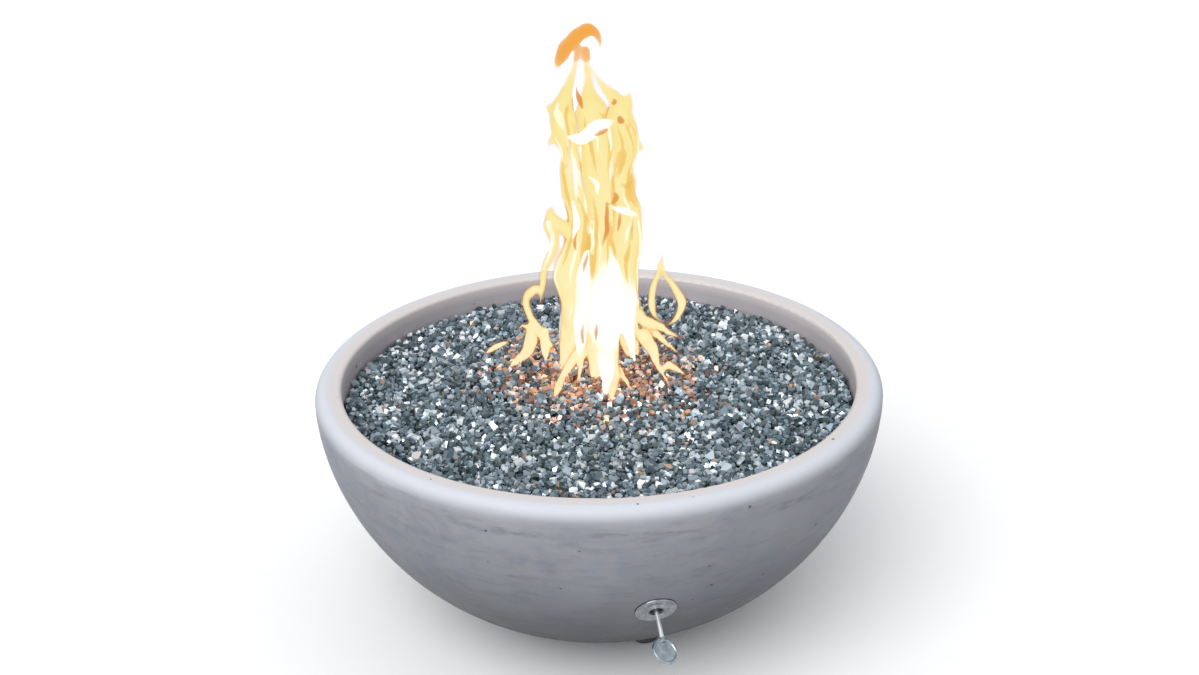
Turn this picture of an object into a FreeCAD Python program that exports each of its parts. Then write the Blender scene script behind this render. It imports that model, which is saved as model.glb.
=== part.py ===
import FreeCAD, Part
import math
import os
import random

import Sketcher

# Round gas fire bowl with a key valve in its wall. The origin is on the floor under the bowl's
# axis, +Z is up and the valve side faces -Y. Lengths are millimetres, angles are degrees.

SIZES = [
    # the cast bowl
    ("bowl_dia", 914.4),
    ("bowl_depth", 385.0),
    ("base_dia", 376.0),
    ("base_thickness", 25.0),
    ("wall_thickness", 22.0),
    ("rim_outer_round", 19.3),
    ("rim_inner_round", 6.0),
    ("rim_width", 42.7),
    ("shoulder_drop", 42.5),
    ("shoulder_inset", 1.2),
    ("belly_drop", 125.4),
    ("belly_inset", 19.8),
    ("ledge_drop", 75.0),
    ("ledge_width", 20.0),
    ("rim_draft", 2.5),
    ("drain_dia", 16.0),
    ("drain_reach", 90.0),
    # rubber feet with their screws and inserts
    ("foot_height", 30.0),
    ("foot_dia", 47.0),
    ("foot_round", 9.0),
    ("foot_circle_dia", 322.0),
    ("foot_count", 3),
    ("foot_bearing", 25.4),
    ("foot_screw_dia", 8.0),
    ("foot_screw_head_dia", 16.0),
    ("foot_screw_head_height", 4.0),
    ("foot_screw_recess", 12.0),
    ("insert_dia", 13.0),
    ("insert_length", 18.0),
    ("insert_end_gap", 2.0),
    ("foot_screw_drive", 9.0),
    # stainless burner pan
    ("pan_sheet", 1.5),
    ("pan_depth", 23.0),
    ("pan_wall_gap", 4.0),
    ("pan_flange_gap", 2.0),
    ("weep_dia", 8.0),
    ("weep_count", 6),
    ("weep_circle_dia", 600.0),
    # broken glass over the burner, and the coarse lumps of its top
    ("glass_drop", 31.0),
    ("glass_gap", 1.0),
    ("lump_pitch", 44.0),
    ("lump_height", 10.0),
    # ring burner
    ("ring_dia", 280.0),
    ("ring_tube_dia", 19.0),
    ("ring_tube_wall", 1.5),
    ("port_dia", 2.6),
    ("port_count", 36),
    ("port_bearing", 5.0),
    ("crossbar_ports", 5),
    ("crossbar_port_pitch", 22.0),
    ("hub_dia", 34.0),
    ("hub_height", 17.0),
    ("nipple_dia", 21.3),
    ("nipple_wall", 2.8),
    ("nipple_length", 52.0),
    ("pan_nut_flats", 32.0),
    ("pan_nut_height", 9.0),
    ("washer_thickness", 2.0),
    ("washer_overlap", 4.0),
    ("mixer_dia", 30.0),
    ("mixer_length", 44.0),
    ("mixer_window_dia", 9.0),
    ("mixer_window_count", 4),
    ("mixer_window_bearing", 45.0),
    # flexible lines and their flare nuts
    ("hose_dia", 15.0),
    ("hose_bore_dia", 10.0),
    ("flare_dia", 15.8),
    ("flare_length", 12.0),
    ("hose_nut_flats", 22.0),
    ("hose_nut_length", 18.0),
    ("hose_lead", 60.0),
    ("hose_swing", 100.0),
    # gas inlet through the base
    ("inlet_x", -80.0),
    ("inlet_y", -60.0),
    ("inlet_dia", 26.6),
    ("inlet_thread_dia", 18.6),
    ("inlet_thread_length", 18.0),
    ("inlet_below", 13.0),
    ("inlet_flats", 36.0),
    ("inlet_hex_height", 8.0),
    ("gas_way_dia", 11.0),
    # valve inside the wall
    ("valve_bearing", 11.49),
    ("valve_dip", 30.85),
    ("valve_barrel_dia", 34.0),
    ("valve_half_length", 34.0),
    ("ball_dia", 22.0),
    ("seat_reach", 11.5),
    ("seat_width", 4.9),
    ("stem_dia", 8.0),
    ("stem_square", 6.35),
    ("stem_square_length", 17.0),
    ("stem_collar_width", 1.5),
    ("stem_collar_height", 1.6),
    ("chamber_gap", 0.2),
    ("ball_slot_depth", 3.0),
    ("ball_slot_width", 3.2),
    ("seal_dia", 13.8),
    ("seal_height", 2.7),
    ("packing_flats", 16.0),
    ("packing_height", 5.0),
    ("end_cap_hex_height", 9.0),
    ("end_cap_step", 3.0),
    ("snout_dia", 36.0),
    # sleeve through the wall and its cover plate
    ("sleeve_dia", 26.7),
    ("sleeve_bore_dia", 20.9),
    ("sleeve_hole_dia", 30.0),
    ("sleeve_nut_flats", 38.0),
    ("sleeve_nut_height", 7.0),
    ("sleeve_grip", 9.0),
    ("sleeve_washer_dia", 44.0),
    ("wall_seat_skim", 0.5),
    ("plate_dia", 64.0),
    ("plate_seat_depth", 1.7),
    ("plate_height", 4.2),
    ("plate_hole_dia", 23.0),
    ("plate_edge_round", 1.9),
    ("plate_edge_width", 4.2),
    ("plate_band_height", 1.0),
    ("plate_edge_height", 2.1),
    ("plate_collar_width", 5.6),
    ("plate_collar_slope", 2.0),
    ("plate_collar_bevel", 1.2),
    ("sleeve_stand_out", 1.0),
    ("pip_dia", 2.4),
    ("pip_top_dia", 1.44),
    ("pip_height", 0.7),
    ("pip_circle_dia", 46.0),
    ("pip_pitch_angle", 18.0),
    ("pips_per_side", 6),
    # removable key
    ("key_rod_dia", 6.4),
    ("key_socket_dia", 12.0),
    ("key_socket_length", 24.0),
    ("key_engagement", 16.0),
    ("key_rod_grip", 6.0),
    ("key_boss_wall", 0.9),
    ("key_boss_length", 8.0),
    ("key_edge_round", 1.2),
    ("key_handle_reach", 68.0),
    ("key_handle_dia", 42.0),
    ("key_handle_thickness", 5.0),
    ("key_rim_width", 3.4),
    ("key_dish_depth", 1.2),
    ("key_turn", 67.0),
    # clearances
    ("thread_gap", 0.05),
    ("running_gap", 0.06),
    ("sliding_gap", 0.1),
    ("hole_gap", 0.7),
    # how far pieces that become one solid run into each other, and a drill past its hole
    ("join", 0.5),
    ("drill_past", 1.0),
]

doc = FreeCAD.newDocument("fire_bowl")
sheet = doc.addObject("Spreadsheet::Sheet", "Sizes")
for row, (alias, number) in enumerate(SIZES, start=1):
    sheet.set("A%d" % row, alias)
    sheet.set("B%d" % row, str(number))
    sheet.setAlias("B%d" % row, alias)
doc.recompute()


class Size:
    """A number from the sheet, or worked out from it, with the formula that says how."""

    def __init__(self, value, formula):
        self.value = float(value)
        self.formula = formula

    def _join(self, other, sign, value):
        other = as_size(other)
        return Size(value(self.value, other.value), "(%s %s %s)" % (self.formula, sign, other.formula))

    def __add__(self, other):
        return self._join(other, "+", lambda a, b: a + b)

    def __sub__(self, other):
        return self._join(other, "-", lambda a, b: a - b)

    def __mul__(self, other):
        return self._join(other, "*", lambda a, b: a * b)

    def __truediv__(self, other):
        return self._join(other, "/", lambda a, b: a / b)

    def __rmul__(self, other):
        return as_size(other) * self

    def __radd__(self, other):
        return as_size(other) + self

    def __rsub__(self, other):
        return as_size(other) - self

    def __neg__(self):
        return as_size(0) - self

    def root(self):
        return Size(math.sqrt(self.value), "sqrt(%s)" % self.formula)


def as_size(number):
    if isinstance(number, Size):
        return number
    return Size(number, repr(float(number)))


def size(alias):
    return Size(sheet.get(alias), "Sizes." + alias)


def half(alias):
    return size(alias) / 2


worked_out = doc.addObject("App::VarSet", "WorkedOut")


def derived(name, amount):
    """Keeps a worked-out size under a name of its own, so that the formulas stay short."""
    worked_out.addProperty("App::PropertyFloat", name)
    worked_out.setExpression(name, amount.formula)
    return Size(amount.value, "WorkedOut." + name)


def carry_on(name, start, heading, end):
    """The arc that leaves start along heading to end: its centre, its radius and its last heading."""
    along = end[0] - start[0]
    up = end[1] - start[1]
    radius = derived(name + "_radius",
                     (along * along + up * up) / ((heading[0] * up - heading[1] * along) * 2))
    centre = (derived(name + "_centre_x", start[0] - heading[1] * radius),
              derived(name + "_centre_z", start[1] + heading[0] * radius))
    last = (derived(name + "_heading_x", (centre[1] - end[1]) / radius),
            derived(name + "_heading_z", (end[0] - centre[0]) / radius))
    return centre, radius, last


def bind(obj, **properties):
    """Ties each named property to its formula."""
    for name, amount in properties.items():
        obj.setExpression(name, as_size(amount).formula)


Z_AXIS = FreeCAD.Vector(0, 0, 1)
X_AXIS = FreeCAD.Vector(1, 0, 0)


def at(x=0.0, y=0.0, z=0.0, direction=Z_AXIS):
    """A placement at a point, with the local Z axis along direction."""
    place = [as_size(amount).value for amount in (x, y, z)]
    return FreeCAD.Placement(FreeCAD.Vector(*place), FreeCAD.Rotation(Z_AXIS, direction))


# Outlines. A step is a straight line, an arc that carries on smoothly, or an arc of given radius.

def line(x, z):
    return ("line", as_size(x), as_size(z), None)


def smooth(x, z):
    return ("smooth", as_size(x), as_size(z), None)


def arc(x, z, radius):
    """An arc of this radius, turning left along the outline, or right for a negative radius."""
    return ("arc", as_size(x), as_size(z), as_size(radius))


def cross(a, b):
    return a.x * b.y - a.y * b.x


def arc_through(start, end, heading):
    """Centre and turn (+1 left, -1 right) of the arc that leaves start along heading to end."""
    chord = end - start
    lean = math.atan2(cross(heading, chord), heading.dot(chord))
    radius = chord.Length / (2 * math.sin(lean))
    normal = FreeCAD.Vector(-heading.y, heading.x, 0)
    return start + normal * radius, (1 if radius > 0 else -1)


def heading_after(centre, turn, point):
    spoke = point - centre
    heading = FreeCAD.Vector(-spoke.y, spoke.x, 0) * turn
    heading.normalize()
    return heading


def arc_of_radius(start, end, radius):
    chord = end - start
    rise = math.sqrt(radius * radius - chord.Length * chord.Length / 4)
    side = FreeCAD.Vector(-chord.y, chord.x, 0)
    side.normalize()
    turn = 1 if radius > 0 else -1
    return (start + end) / 2 + side * rise * turn, turn


def arc_geometry(centre, turn, start, end):
    low, high = (start, end) if turn > 0 else (end, start)
    first = math.atan2(low.y - centre.y, low.x - centre.x)
    last = math.atan2(high.y - centre.y, high.x - centre.x)
    circle = Part.Circle(centre, Z_AXIS, (start - centre).Length)
    return Part.ArcOfCircle(circle, first, last if last > first else last + 2 * math.pi)


# A sketch's own origin, and the index of the axis on which a distance of nothing lies
ORIGIN_POINT = (-1, 1)
AXIS_INDEX = {"DistanceX": -2, "DistanceY": -1}


def place_point(sketch, geometry, end, x, z):
    """Holds a point of the sketch at x and z, each by its own formula."""
    for kind, amount in (("DistanceX", x), ("DistanceY", z)):
        if abs(amount.value) < 1e-9:
            sketch.addConstraint(Sketcher.Constraint("PointOnObject", geometry, end, AXIS_INDEX[kind]))
            continue
        made = Sketcher.Constraint(kind, *ORIGIN_POINT, geometry, end, amount.value)
        index = sketch.addConstraint(made)
        sketch.setExpression("Constraints[%d]" % index, amount.formula)


def draw_outline(sketch, steps):
    """Draws a closed outline. The first step is its starting point."""
    points = [FreeCAD.Vector(x.value, z.value, 0) for _, x, z, _ in steps]
    heading = None
    ends = []
    for number in range(len(steps)):
        kind, x, z, radius = steps[(number + 1) % len(steps)]
        start = points[number]
        end = points[(number + 1) % len(steps)]
        if kind == "line" or number == len(steps) - 1:
            index = sketch.addGeometry(Part.LineSegment(start, end), False)
            heading = (end - start).normalize()
            ends.append((index, 1, 2, "line"))
            continue
        if kind == "smooth":
            centre, turn = arc_through(start, end, heading)
        else:
            centre, turn = arc_of_radius(start, end, radius.value)
        index = sketch.addGeometry(arc_geometry(centre, turn, start, end), False)
        heading = heading_after(centre, turn, end)
        ends.append((index, 1, 2, kind) if turn > 0 else (index, 2, 1, kind))
        if kind == "arc":
            held = sketch.addConstraint(Sketcher.Constraint("Radius", index, abs(radius.value)))
            formula = radius.formula if radius.value > 0 else (-radius).formula
            sketch.setExpression("Constraints[%d]" % held, formula)
    for number, (index, _, finish, _) in enumerate(ends):
        following, start, _, kind = ends[(number + 1) % len(ends)]
        rule = "Tangent" if kind == "smooth" else "Coincident"
        sketch.addConstraint(Sketcher.Constraint(rule, index, finish, following, start))
    for number, (index, start, _, _) in enumerate(ends):
        place_point(sketch, index, start, steps[number][1], steps[number][2])


def origin_plane(body, role):
    return next(f for f in body.Origin.OriginFeatures if f.Role == role)


def new_sketch(body, name, role):
    sketch = body.newObject("Sketcher::SketchObject", name)
    sketch.AttachmentSupport = [(origin_plane(body, role), "")]
    sketch.MapMode = "FlatFace"
    return sketch


def turned(name, steps):
    """A body turned about its own Z axis from an outline of radius and height."""
    body = doc.addObject("PartDesign::Body", name)
    sketch = new_sketch(body, name + "_outline", "XZ_Plane")
    draw_outline(sketch, steps)
    turning = body.newObject("PartDesign::Revolution", name + "_turning")
    turning.Profile = sketch
    turning.ReferenceAxis = (sketch, ["V_Axis"])
    turning.Angle = 360
    sketch.Visibility = False
    return body


def tube(name, outer, inner, low, high):
    """A plain turned ring or, with no inner radius, a disc."""
    return turned(name, [line(inner, low), line(outer, low), line(outer, high), line(inner, high)])


def prism(name, sides, across_flats, height, place):
    made = doc.addObject("Part::Prism", name)
    made.Polygon = sides
    bind(made, Circumradius=as_size(across_flats) / (2 * math.cos(math.pi / sides)), Height=height)
    made.Placement = place
    return made


def cylinder(name, radius, height, place):
    made = doc.addObject("Part::Cylinder", name)
    bind(made, Radius=radius, Height=height)
    made.Placement = place
    return made


def drill(name, radius, low, high, x=0.0, y=0.0):
    """The tool for an upright hole from low to high. It runs a little past both."""
    past = size("drill_past")
    return cylinder(name, radius, high - low + 2 * past, at(x, y, low - past))


def block(name, length, width, height, place):
    """A box centred on its placement's axis, standing on its origin."""
    made = doc.addObject("Part::Box", name)
    bind(made, Length=length, Width=width, Height=height)
    corner = FreeCAD.Vector(-as_size(length).value / 2, -as_size(width).value / 2, 0)
    made.Placement = place.multiply(FreeCAD.Placement(corner, FreeCAD.Rotation()))
    return made


def fused(name, pieces):
    made = doc.addObject("Part::MultiFuse", name)
    made.Shapes = pieces
    return made


def cut(name, base, tools):
    made = doc.addObject("Part::Cut", name)
    made.Base = base
    made.Tool = tools[0] if len(tools) == 1 else fused(name + "_tools", tools)
    return made


def group(name, pieces):
    made = doc.addObject("Part::Compound", name)
    made.Links = pieces
    return made


def ring_of(count, first_bearing, radius):
    """Points on a circle, by bearings counted from the front (-Y) towards +X."""
    for number in range(int(count)):
        bearing = math.radians(first_bearing + 360 * number / int(count))
        yield number, FreeCAD.Vector(radius * math.sin(bearing), -radius * math.cos(bearing), 0)


NODES = []


def node(obj, label=None):
    """Lists a finished sub-part."""
    if label:
        obj.Label = label
    NODES.append(obj)
    return obj


# Heights and radii that several pieces share

base_z = size("foot_height")
rim_z = base_z + size("bowl_depth")
floor_z = base_z + size("base_thickness")
ledge_z = rim_z - size("ledge_drop")
glass_z = rim_z - size("glass_drop")
bowl_r = half("bowl_dia")
mouth_r = bowl_r - size("rim_width")
ledge_outer_r = mouth_r - size("rim_draft")
ledge_inner_r = ledge_outer_r - size("ledge_width")
pan_floor_z = ledge_z - size("pan_depth")
pan_inner_r = ledge_inner_r - size("pan_wall_gap") - size("pan_sheet")
ring_z = pan_floor_z + size("pan_sheet") + size("hub_height")
ring_r = half("ring_dia")
ring_tube_r = half("ring_tube_dia")
nipple_top_z = ring_z - ring_tube_r
nipple_low_z = nipple_top_z - size("nipple_length")
mixer_top_z = nipple_low_z + size("flare_length")
mixer_low_z = mixer_top_z - size("mixer_length")
flare_r = half("flare_dia")
gas_way_r = half("gas_way_dia")


# The bowl's outer wall, from the rim down, as three arcs that carry on from each other

rim_corner = (bowl_r, rim_z - size("rim_outer_round"))
shoulder = (bowl_r - size("shoulder_inset"), rim_z - size("shoulder_drop"))
belly = (bowl_r - size("belly_inset"), rim_z - size("belly_drop"))
base_edge = (half("base_dia"), base_z)
_, _, shoulder_heading = carry_on("shoulder", rim_corner, (as_size(0), as_size(-1)), shoulder)
_, _, belly_heading = carry_on("belly", shoulder, shoulder_heading, belly)
wall_centre, wall_turn, _ = carry_on("wall", belly, belly_heading, base_edge)
wall_r = derived("wall_r", -wall_turn)
cavity_r = derived("cavity_r", wall_r - size("wall_thickness"))
cavity_floor_r = derived(
    "cavity_floor_r",
    wall_centre[0] + (cavity_r * cavity_r - (floor_z - wall_centre[1]) * (floor_z - wall_centre[1])).root())
ledge_reach = ledge_inner_r - wall_centre[0]
cavity_top_z = derived(
    "cavity_top_z", wall_centre[1] - (cavity_r * cavity_r - ledge_reach * ledge_reach).root())


# The frame of the valve: its local Z axis leaves the wall square, through the cover plate.

def valve_frame():
    """The placement whose origin is on the wall and whose X axis is level, to the right."""
    bearing = math.radians(size("valve_bearing").value)
    dip = math.radians(size("valve_dip").value)
    spot_r = wall_centre[0].value + wall_r.value * math.cos(dip)
    spot_z = wall_centre[1].value - wall_r.value * math.sin(dip)
    radial = FreeCAD.Vector(math.sin(bearing), -math.cos(bearing), 0)
    outward = radial * math.cos(dip) - Z_AXIS * math.sin(dip)
    level = Z_AXIS.cross(radial)
    origin = radial * spot_r + Z_AXIS * spot_z
    turn = FreeCAD.Rotation(level, outward.cross(level), outward, "ZXY")
    return FreeCAD.Placement(origin, turn)


VALVE = valve_frame()
VALVE_AXIS = VALVE.Rotation.multVec(Z_AXIS)
VALVE_LEVEL = VALVE.Rotation.multVec(X_AXIS)


def on_valve(obj, label):
    """Sets a piece that was made about the local axis into the wall."""
    obj.Placement = VALVE.multiply(obj.Placement)
    return node(obj, label)


# The bowl

def make_bowl():
    """Cast shell with a thick rim, a ledge for the pan, and holes for the valve, gas and drain."""
    shell = turned("bowl_shell", [
        line(0, floor_z),
        line(cavity_floor_r, floor_z),
        arc(ledge_inner_r, cavity_top_z, cavity_r),
        line(ledge_inner_r, ledge_z),
        line(ledge_outer_r, ledge_z),
        line(mouth_r, rim_z - size("rim_inner_round")),
        arc(mouth_r + size("rim_inner_round"), rim_z, -size("rim_inner_round")),
        line(bowl_r - size("rim_outer_round"), rim_z),
        smooth(*rim_corner),
        smooth(*shoulder),
        smooth(*belly),
        smooth(*base_edge),
        line(0, base_z),
    ])
    past = size("wall_thickness")
    plate_seat = cylinder("plate_seat", half("plate_dia") + size("hole_gap"), past,
                          VALVE.multiply(at(z=-size("plate_seat_depth"))))
    washer_seat = cylinder("washer_seat", half("sleeve_washer_dia") + size("hole_gap"), past,
                           VALVE.multiply(at(z=-wall_seat_depth - past)))
    sleeve_hole = cylinder("sleeve_hole", half("sleeve_hole_dia"), 3 * past,
                           VALVE.multiply(at(z=-2 * past)))
    inlet_hole = drill("inlet_hole", half("inlet_dia") + size("hole_gap"), base_z, floor_z,
                       size("inlet_x"), size("inlet_y"))
    drain_hole = drill("drain_hole", half("drain_dia"), base_z, floor_z, 0, size("drain_reach"))
    sockets = [
        cylinder("insert_socket_%d" % number, half("insert_dia"), size("insert_length"),
                 at(spot.x, spot.y, base_z))
        for number, spot in foot_spots()
    ]
    tools = [plate_seat, washer_seat, sleeve_hole, inlet_hole, drain_hole] + sockets
    node(cut("bowl", shell, tools), "bowl")


# Feet

def foot_spots():
    return list(ring_of(size("foot_count").value, size("foot_bearing").value,
                        half("foot_circle_dia").value))


def make_foot(number, spot):
    """Rubber foot with a rounded lower edge and a recess that hides its screw head."""
    outer = half("foot_dia")
    recess_r = half("foot_screw_head_dia") + size("hole_gap")
    screw_r = half("foot_screw_dia") + size("hole_gap")
    foot = turned("foot_%d" % number, [
        line(recess_r, 0),
        line(outer - size("foot_round"), 0),
        smooth(outer, size("foot_round")),
        line(outer, size("foot_height")),
        line(screw_r, size("foot_height")),
        line(screw_r, size("foot_screw_recess")),
        line(recess_r, size("foot_screw_recess")),
    ])
    foot.Placement = at(spot.x, spot.y, 0)
    node(foot, ("foot_front", "foot_back", "foot_left")[number] if number < 3 else "foot_%d" % number)


def make_foot_screw(number, spot):
    head_low = size("foot_screw_recess") - size("foot_screw_head_height")
    head_r = half("foot_screw_head_dia")
    crown = size("foot_screw_head_height") / 2
    shank_top = base_z + size("insert_length") - size("insert_end_gap")
    screw = turned("foot_screw_%d" % number, [
        line(0, head_low),
        line(head_r - crown, head_low),
        smooth(head_r, head_low + crown),
        line(head_r, size("foot_screw_recess")),
        line(half("foot_screw_dia"), size("foot_screw_recess")),
        line(half("foot_screw_dia"), shank_top),
        line(0, shank_top),
    ])
    drive = prism("foot_screw_drive_%d" % number, 6, size("foot_screw_drive"), crown,
                  at(0, 0, head_low))
    made = cut("foot_screw_cut_%d" % number, screw, [drive])
    made.Placement = at(spot.x, spot.y, 0)
    return made


def make_insert(number, spot):
    """Brass threaded insert cast into the base."""
    insert = tube("insert_%d" % number, half("insert_dia") - size("thread_gap"),
                  half("foot_screw_dia") + size("thread_gap"), base_z, base_z + size("insert_length"))
    insert.Placement = at(spot.x, spot.y, 0)
    return insert


def make_feet():
    for number, spot in foot_spots():
        make_foot(number, spot)
    node(group("foot_screws", [make_foot_screw(*each) for each in foot_spots()]), "foot_screws")
    node(group("foot_inserts", [make_insert(*each) for each in foot_spots()]), "foot_inserts")


# Pan and glass

def make_pan():
    """Pressed stainless pan, hung by its flange on the ledge."""
    sheet_t = size("pan_sheet")
    wall_r = ledge_inner_r - size("pan_wall_gap")
    hole_r = half("nipple_dia") + size("hole_gap")
    pan = turned("pan_pressing", [
        line(hole_r, pan_floor_z),
        line(wall_r, pan_floor_z),
        line(wall_r, ledge_z),
        line(ledge_outer_r - size("pan_flange_gap"), ledge_z),
        line(ledge_outer_r - size("pan_flange_gap"), ledge_z + sheet_t),
        line(wall_r - sheet_t, ledge_z + sheet_t),
        line(wall_r - sheet_t, pan_floor_z + sheet_t),
        line(hole_r, pan_floor_z + sheet_t),
    ])
    weeps = [
        drill("weep_%d" % number, half("weep_dia"), pan_floor_z, pan_floor_z + sheet_t, spot.x, spot.y)
        for number, spot in ring_of(size("weep_count").value, 0, half("weep_circle_dia").value)
    ]
    node(cut("burner_pan", pan, weeps), "burner_pan")


# how far a corner of the glass strays from its place in the grid, as a share of the pitch, and from
# its height, as a share of the lumps' height
LUMP_STRAY = 0.22
LUMP_UNEVEN = 0.4


def lump_corners(reach):
    """Peaks and hollows by turns on a square grid out to reach, by row and column."""
    pitch = size("lump_pitch").value / math.sqrt(2)
    height = size("lump_height").value
    count = math.ceil(reach / pitch)
    corners = {}
    for row in range(-count, count + 1):
        for column in range(-count, count + 1):
            draw = random.Random("%d %d" % (row, column))
            x = (column + draw.uniform(-LUMP_STRAY, LUMP_STRAY)) * pitch
            y = (row + draw.uniform(-LUMP_STRAY, LUMP_STRAY)) * pitch
            uneven = draw.uniform(0, LUMP_UNEVEN)
            drop = uneven if is_peak(row, column) else 1 - uneven
            if math.hypot(x, y) < reach:
                corners[row, column] = FreeCAD.Vector(x, y, glass_z.value - drop * height)
    return corners


def is_peak(row, column):
    return (row + column) % 2 == 0


def flat_face(corners):
    return Part.Face(Part.makePolygon(corners + corners[:1]))


def air_over_glass():
    """The air above the glass. Its underside is a field of four-sided lumps of broken glass."""
    corners = lump_corners(mouth_r.value + 2 * size("lump_pitch").value)
    lift = FreeCAD.Vector(0, 0, 2 * size("lump_height").value)
    faces = []
    sides = set()
    for row, column in corners:
        square = [(row, column), (row, column + 1), (row + 1, column + 1), (row + 1, column)]
        if not all(name in corners for name in square):
            continue
        if is_peak(row, column):
            square = square[1:] + square[:1]
        spots = [corners[name] for name in square]
        faces += [flat_face(spots[:3]), flat_face([spots[0], spots[2], spots[3]])]
        sides.update(zip(square, square[1:] + square[:1]))
    edge = {start: end for start, end in sides if (end, start) not in sides}
    loop = [min(edge)]
    while edge[loop[-1]] != loop[0]:
        loop.append(edge[loop[-1]])
    top = {name: FreeCAD.Vector(corners[name].x, corners[name].y, glass_z.value) + lift for name in loop}
    faces += [flat_face([corners[name], corners[edge[name]], top[edge[name]], top[name]]) for name in loop]
    faces.append(flat_face([top[name] for name in loop]))
    air = doc.addObject("Part::Feature", "air_over_glass")
    air.Shape = Part.Solid(Part.Shell(faces))
    return air


def make_glass():
    """The bed of broken glass as one solid, hollowed round the burner that it covers."""
    gap = size("glass_gap")
    low = pan_floor_z + size("pan_sheet") + gap
    step = ledge_z + size("pan_sheet") + gap
    slope = size("rim_draft") * size("glass_drop") / size("ledge_drop")
    bed = turned("glass_heap", [
        line(0, low),
        line(pan_inner_r - gap, low),
        line(pan_inner_r - gap, step),
        line(ledge_outer_r - gap, step),
        line(mouth_r - slope - gap, glass_z),
        line(0, glass_z),
    ])
    room_r = ring_tube_r + gap
    ring_room = tube("ring_room", ring_r + room_r, ring_r - room_r, ring_z - room_r, ring_z + room_r)
    bar_room = block("bar_room", 2 * ring_r, 2 * room_r, 2 * room_r, at(z=ring_z - room_r))
    hub_room = cylinder("hub_room", half("hub_dia") + gap, ring_z - pan_floor_z, at(z=pan_floor_z))
    node(cut("fire_glass", bed, [air_over_glass(), ring_room, bar_room, hub_room]), "fire_glass")


# Burner

def make_ring():
    """Hollow ring with a row of gas ports on top and a hole for each end of the crossbar."""
    outside = doc.addObject("Part::Torus", "ring_outside")
    bind(outside, Radius1=ring_r, Radius2=ring_tube_r)
    inside = doc.addObject("Part::Torus", "ring_inside")
    bind(inside, Radius1=ring_r, Radius2=ring_tube_r - size("ring_tube_wall"))
    ports = [
        cylinder("ring_port_%d" % number, half("port_dia"), ring_tube_r, at(spot.x, spot.y, 0))
        for number, spot in ring_of(size("port_count").value, size("port_bearing").value, ring_r.value)
    ]
    bar_way = cylinder("bar_way", ring_tube_r - size("ring_tube_wall"), 2 * ring_r,
                       at(-ring_r, 0, 0, X_AXIS))
    ring = cut("burner_ring", outside, [inside, bar_way] + ports)
    ring.Placement = at(z=ring_z)
    node(ring, "burner_ring")


def make_crossbar():
    """Feed tube across the ring, coped at both ends to the ring's round tube."""
    bar = cylinder("bar_outside", ring_tube_r, 2 * ring_r, at(-ring_r, 0, 0, X_AXIS))
    bore = cylinder("bar_bore", ring_tube_r - size("ring_tube_wall"), 2 * ring_r,
                    at(-ring_r, 0, 0, X_AXIS))
    cope = doc.addObject("Part::Torus", "bar_cope")
    bind(cope, Radius1=ring_r, Radius2=ring_tube_r + size("thread_gap"))
    feed = cylinder("bar_feed", half("nipple_dia") - size("nipple_wall"), ring_tube_r,
                    at(z=-ring_tube_r))
    ports = []
    for side in (-1, 1):
        for number in range(1, int(size("crossbar_ports").value) + 1):
            reach = side * number * size("crossbar_port_pitch")
            ports.append(cylinder("bar_port_%d_%d" % (side + 1, number), half("port_dia"),
                                  ring_tube_r, at(reach, 0, 0)))
    made = cut("burner_crossbar", bar, [bore, cope, feed] + ports)
    made.Placement = at(z=ring_z)
    node(made, "burner_crossbar")


def make_hub():
    """Collar that stands on the pan, takes the pipe nipple and cradles the crossbar."""
    low = pan_floor_z + size("pan_sheet")
    collar = tube("hub_collar", half("hub_dia"), half("nipple_dia") + size("thread_gap"), low, ring_z)
    cradle = cylinder("hub_cradle", ring_tube_r + size("thread_gap"), 2 * half("hub_dia"),
                      at(-half("hub_dia"), 0, ring_z, X_AXIS))
    node(cut("burner_hub", collar, [cradle]), "burner_hub")


def make_nipple():
    top = nipple_top_z - size("hole_gap")
    node(tube("burner_nipple", half("nipple_dia"), half("nipple_dia") - size("nipple_wall"),
              nipple_low_z, top))


def make_pan_fixing():
    """Washer and locknut that draw the hub down on the pan."""
    washer_high = pan_floor_z
    washer_low = washer_high - size("washer_thickness")
    bore = half("nipple_dia") + size("thread_gap")
    node(tube("pan_washer", half("pan_nut_flats") + size("washer_overlap"), bore, washer_low, washer_high))
    hexagon = prism("pan_nut_hexagon", 6, size("pan_nut_flats"), size("pan_nut_height"),
                    at(z=washer_low - size("pan_nut_height")))
    hole = drill("pan_nut_hole", bore, washer_low - size("pan_nut_height"), washer_low)
    node(cut("pan_locknut", hexagon, [hole]), "pan_locknut")


def make_mixer():
    """Brass air mixer with side windows, screwed on the nipple, with a flare for the hose below."""
    outer = half("mixer_dia")
    thread_r = half("nipple_dia") + size("thread_gap")
    flare_low = mixer_low_z - size("flare_length")
    body = turned("mixer_body", [
        line(gas_way_r, flare_low),
        line(flare_r, flare_low),
        line(flare_r, mixer_low_z),
        line(outer, mixer_low_z),
        line(outer, mixer_top_z),
        line(thread_r, mixer_top_z),
        line(thread_r, nipple_low_z),
        line(gas_way_r, nipple_low_z),
    ])
    window_z = (mixer_low_z + nipple_low_z) / 2
    windows = [
        cylinder("mixer_window_%d" % number, half("mixer_window_dia"), outer,
                 at(0, 0, window_z, spot))
        for number, spot in ring_of(size("mixer_window_count").value,
                                    size("mixer_window_bearing").value, 1.0)
    ]
    node(cut("air_mixer", body, windows), "air_mixer")


# Flexible lines

# the share of its shorter run that an arc takes up, and where a line's points lie between its leads
ARC_SHARE = 0.45
ROUTE_SHARES = (0.25, 0.5, 0.75)


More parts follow.
